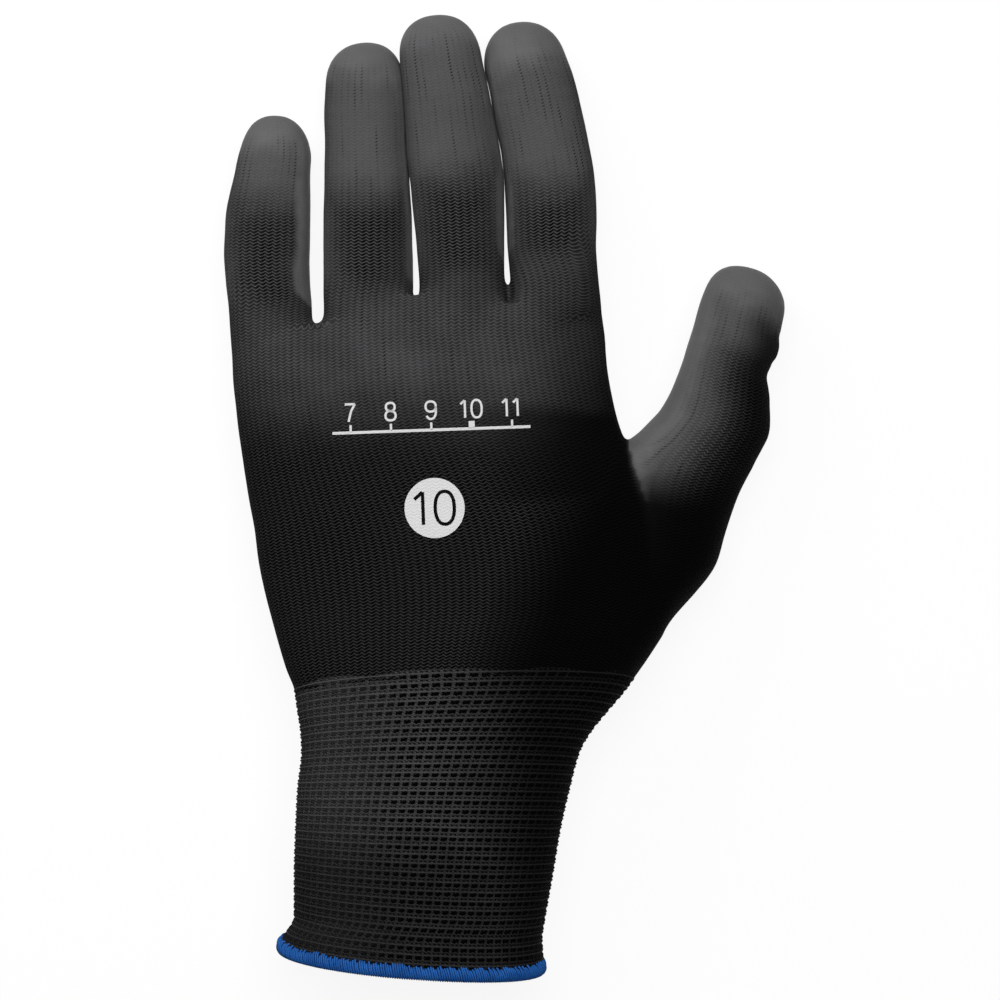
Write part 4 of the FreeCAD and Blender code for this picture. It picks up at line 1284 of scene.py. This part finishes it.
def makeFigureMaterial():
    paint = Paint("figureInk")
    uneven = paint.noise(paint.objectSpace(), 900.0, 3.0)
    tone = paint.mixColour(uneven.ease(0.3, 0.8), (0.003, 0.003, 0.004), (0.010, 0.010, 0.011))
    paint.set(Base_Color=tone, Roughness=0.75 + uneven * 0.1, Normal=paint.bump(uneven, 0.00006),
              Specular_IOR_Level=0.05)
    return paint.material


inkMaterial = makeInkMaterial()
figureMaterial = makeFigureMaterial()
handTree = BVHTree.FromPolygons(skinPoints.tolist(), skinFaces[pieceOf == 0].tolist())


def ontoBack(across, along, above):
    start, down = Vector((across, along, 200)), Vector((0, 0, -1))
    hit, normal = handTree.ray_cast(start, down)[:2]
    return np.array(hit + (-normal if normal.z < 0 else normal) * above)


def layFlat(name, drawing, middle, degrees, above, material):
    # turn a flat drawing, move it to its place and drop it on the back of the hand
    points, faces = drawing
    c, s = math.cos(math.radians(degrees)), math.sin(math.radians(degrees))
    laid = np.array([ontoBack(middle[0] + x * c - y * s, middle[1] + x * s + y * c, above)
                     for x, y in points])
    mesh = makeMesh(name, laid, faces)
    setKnitMap(mesh, laid[:, 0] / 1.95, coursesAt(laid[:, 0], laid[:, 1]),
               np.full(len(laid), 999.0))
    piece = makeObject(name, mesh, material)
    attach(piece, "hand")
    return piece


def discDrawing():
    radii = np.linspace(0, printMark["discRadius"], 34)[1:]
    around = 120
    angle = np.arange(around) / around * fullTurn
    circle = np.stack([np.cos(angle), np.sin(angle)], 1)
    points = np.concatenate([np.zeros((1, 2))] + [circle * r for r in radii])
    faces = [(0, 1 + k, 1 + (k + 1) % around) for k in range(around)]
    for a, b, c, d in (gridFaces(len(radii), around) + 1).tolist():
        faces.append((a, d, c, b))
    return points, faces


def strip(points, width, closed=False):
    # a drawn line of constant width, as quads
    points = np.asarray(points, float)
    ahead = np.gradient(points, axis=0)
    if closed:
        ahead = np.roll(points, -1, 0) - np.roll(points, 1, 0)
    ahead /= np.linalg.norm(ahead, axis=1)[:, None]
    aside = np.stack([-ahead[:, 1], ahead[:, 0]], 1) * width / 2
    lanes = np.linspace(-1, 1, 4)
    laid = np.concatenate([points + aside * lane for lane in lanes])
    count = len(points)
    faces = []
    for lane in range(len(lanes) - 1):
        for k in range(count if closed else count - 1):
            a, b = lane * count + k, lane * count + (k + 1) % count
            faces.append((a, b, b + count, a + count))
    return laid, faces


def lineTo(a, b, step=0.25):
    a, b = np.asarray(a, float), np.asarray(b, float)
    count = max(int(np.linalg.norm(b - a) / step), 2)
    return a + (b - a) * np.linspace(0, 1, count + 1)[:, None]


def ovalLine(middle, halfWidth, halfHeight, last=fullTurn, count=72):
    angle = np.linspace(0.0, last, count, endpoint=abs(last) < fullTurn - 1e-6)
    c, s = roundedOval(angle, 2.3)
    return np.stack([c * halfWidth, middle + s * halfHeight], 1)


def figureStrokes(figure, height):
    # a plain drawn numeral as (line, closed) pairs and its width; it stands on y 0 about x 0
    half, mid = height * 0.29, height / 2
    wide, narrow = height * 0.58, height * 0.42
    if figure == "0":
        return [(ovalLine(mid, half, mid), True)], wide
    if figure == "1":
        flag = lineTo((-half * 0.75, height * 0.78), (half * 0.10, height), 0.12)
        return [(lineTo((half * 0.12, 0), (half * 0.12, height)), False), (flag, False)], narrow
    if figure == "7":
        knee = (half * 0.2, height * 0.6)
        corners = [(-half, height), (half, height), knee, (-half * 0.35, 0)]
        return [(lineTo(a, b), False) for a, b in zip(corners, corners[1:])], wide
    if figure == "8":
        upper, lower = height * 0.235, height * 0.265
        return [(ovalLine(height - upper, half * 0.86, upper), True),
                (ovalLine(lower, half, lower), True)], wide
    bowl = half
    tail = ovalLine(mid, half, mid, -math.pi * 0.80, 40)
    return [(ovalLine(height - bowl, half, bowl), True), (tail, False),
            (lineTo((half, mid), (half, height - bowl)), False)], wide


def writeNumber(text, height, stroke):
    figures = [figureStrokes(letter, height) for letter in text]
    gap = height * 0.20
    cursor = -(sum(width for strokes, width in figures) + gap * (len(text) - 1)) / 2
    parts = []
    for strokes, width in figures:
        for line, closed in strokes:
            parts.append(strip(line + np.array([cursor + width / 2, -height / 2]), stroke, closed))
        cursor += width + gap
    return parts


def joinDrawings(parts):
    points, faces, count = [], [], 0
    for laid, drawn in parts:
        points.append(laid)
        faces += [tuple(k + count for k in face) for face in drawn]
        count += len(laid)
    return np.concatenate(points), faces


def scaleDrawing():
    low, half = -printMark["barDrop"], printMark["barLength"] / 2
    parts = []
    for k, text in enumerate(printMark["sizes"]):
        x = (k - 2) * printMark["sizeStep"]
        for laid, drawn in writeNumber(text, printMark["sizeHeight"], printMark["sizeStroke"]):
            parts.append((laid + np.array([x, 0.6]), drawn))
        width = printMark["wideTick"] if text == "10" else printMark["tick"]
        parts.append(strip(lineTo((x, low), (x, low + printMark["tickHeight"]), 0.3), width))
    parts.append(strip(lineTo((-half, low), (half, low), 0.5), printMark["barHeight"]))
    return joinDrawings(parts)


figures = writeNumber("10", printMark["figureHeight"], printMark["figureStroke"])
sizeDisc = layFlat("sizeDisc", discDrawing(), printMark["disc"], 0, printMark["above"], inkMaterial)
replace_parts(sizeDisc, "size_print")
layFlat("sizeNumber", joinDrawings(figures), printMark["disc"], printMark["turn"],
        printMark["figureAbove"], figureMaterial)
layFlat("sizeScale", scaleDrawing(), printMark["scaleMiddle"], printMark["turn"],
        printMark["above"], inkMaterial)
print("prints laid")


# floor, light and camera, in metres
studio = {
    "floorReach": 4000.0,  # in millimetres, as every mesh
    "floorGlow": 0.90, "floorTone": 0.16,
    "key": {"place": (-0.31, 0.39, 0.34), "size": 0.36, "power": 1.1},
    "fill": {"place": (0.10, 0.32, 1.20), "size": 0.9, "power": 8.6},
    "aim": (0.01, 0.0, 0.0),
    "ambient": 0.03,
    "camera": (0.01716, 0.00792, 3.0), "viewWidth": 0.264, "viewHeight": 0.016, "sensor": 36.0,
}


def makeFloor():
    reach = studio["floorReach"]
    corners = [(-reach, -reach, 0), (reach, -reach, 0), (reach, reach, 0), (-reach, reach, 0)]
    mesh = makeMesh("floor", corners, [(0, 1, 2, 3)])
    paint = Paint("paleFloor")
    glow = paint.node("ShaderNodeEmission", None,
                      {"Color": (1.0, 1.0, 1.0), "Strength": studio["floorGlow"]})
    seen = paint.node("ShaderNodeLightPath", output="Is Camera Ray")
    mirrored = paint.node("ShaderNodeLightPath", output="Is Glossy Ray")
    dull = paint.node("ShaderNodeBsdfDiffuse", None, {"Color": (studio["floorTone"],) * 3})
    bright = paint.node("ShaderNodeAddShader", None, {0: glow, 1: dull})
    mixed = paint.node("ShaderNodeMixShader", None, {0: seen.most(mirrored), 1: dull, 2: bright})
    paint.tree.nodes.remove(paint.shader)
    feed(paint.tree, paint.output.inputs["Surface"], mixed)
    makeObject("floor", mesh, paint.material, smooth=False)


def makeLamp(name, settings):
    lamp = bpy.data.lights.new(name, "AREA")
    lamp.energy = settings["power"]
    lamp.size = settings["size"]
    holder = bpy.data.objects.new(name, lamp)
    holder.location = settings["place"]
    aim = Vector(studio["aim"]) - Vector(settings["place"])
    holder.rotation_euler = aim.to_track_quat("-Z", "Y").to_euler()
    bpy.context.scene.collection.objects.link(holder)


def makeWorld():
    # white where the camera looks past the floor, dim where it lights the glove
    world = bpy.data.worlds.new("studio")
    world.use_nodes = True
    tree = world.node_tree
    tree.nodes.clear()
    path = addNode(tree, "ShaderNodeLightPath").outputs
    seen = addNode(tree, "ShaderNodeMath", {"operation": "MAXIMUM"},
                   {0: path["Is Camera Ray"], 1: path["Is Transmission Ray"]})
    dim, white = [addNode(tree, "ShaderNodeBackground", None, {0: (1, 1, 1), 1: strength})
                  for strength in (studio["ambient"], 1.0)]
    mixed = addNode(tree, "ShaderNodeMixShader", None,
                    {0: seen.outputs[0], 1: dim.outputs[0], 2: white.outputs[0]})
    addNode(tree, "ShaderNodeOutputWorld", None, {0: mixed.outputs[0]})
    bpy.context.scene.world = world


def makeCamera():
    lens = bpy.data.cameras.new("photoCamera")
    lens.sensor_width = studio["sensor"]
    distance = studio["camera"][2] - studio["viewHeight"]
    lens.lens = studio["sensor"] * distance / studio["viewWidth"]
    lens.clip_start, lens.clip_end = 0.1, 20.0
    camera = bpy.data.objects.new("photoCamera", lens)
    camera.location = studio["camera"]
    bpy.context.scene.collection.objects.link(camera)
    bpy.context.scene.camera = camera


makeFloor()
makeLamp("keyLamp", studio["key"])
makeLamp("fillLamp", studio["fill"])
makeWorld()
makeCamera()
bpy.context.scene.view_settings.view_transform = "Standard"
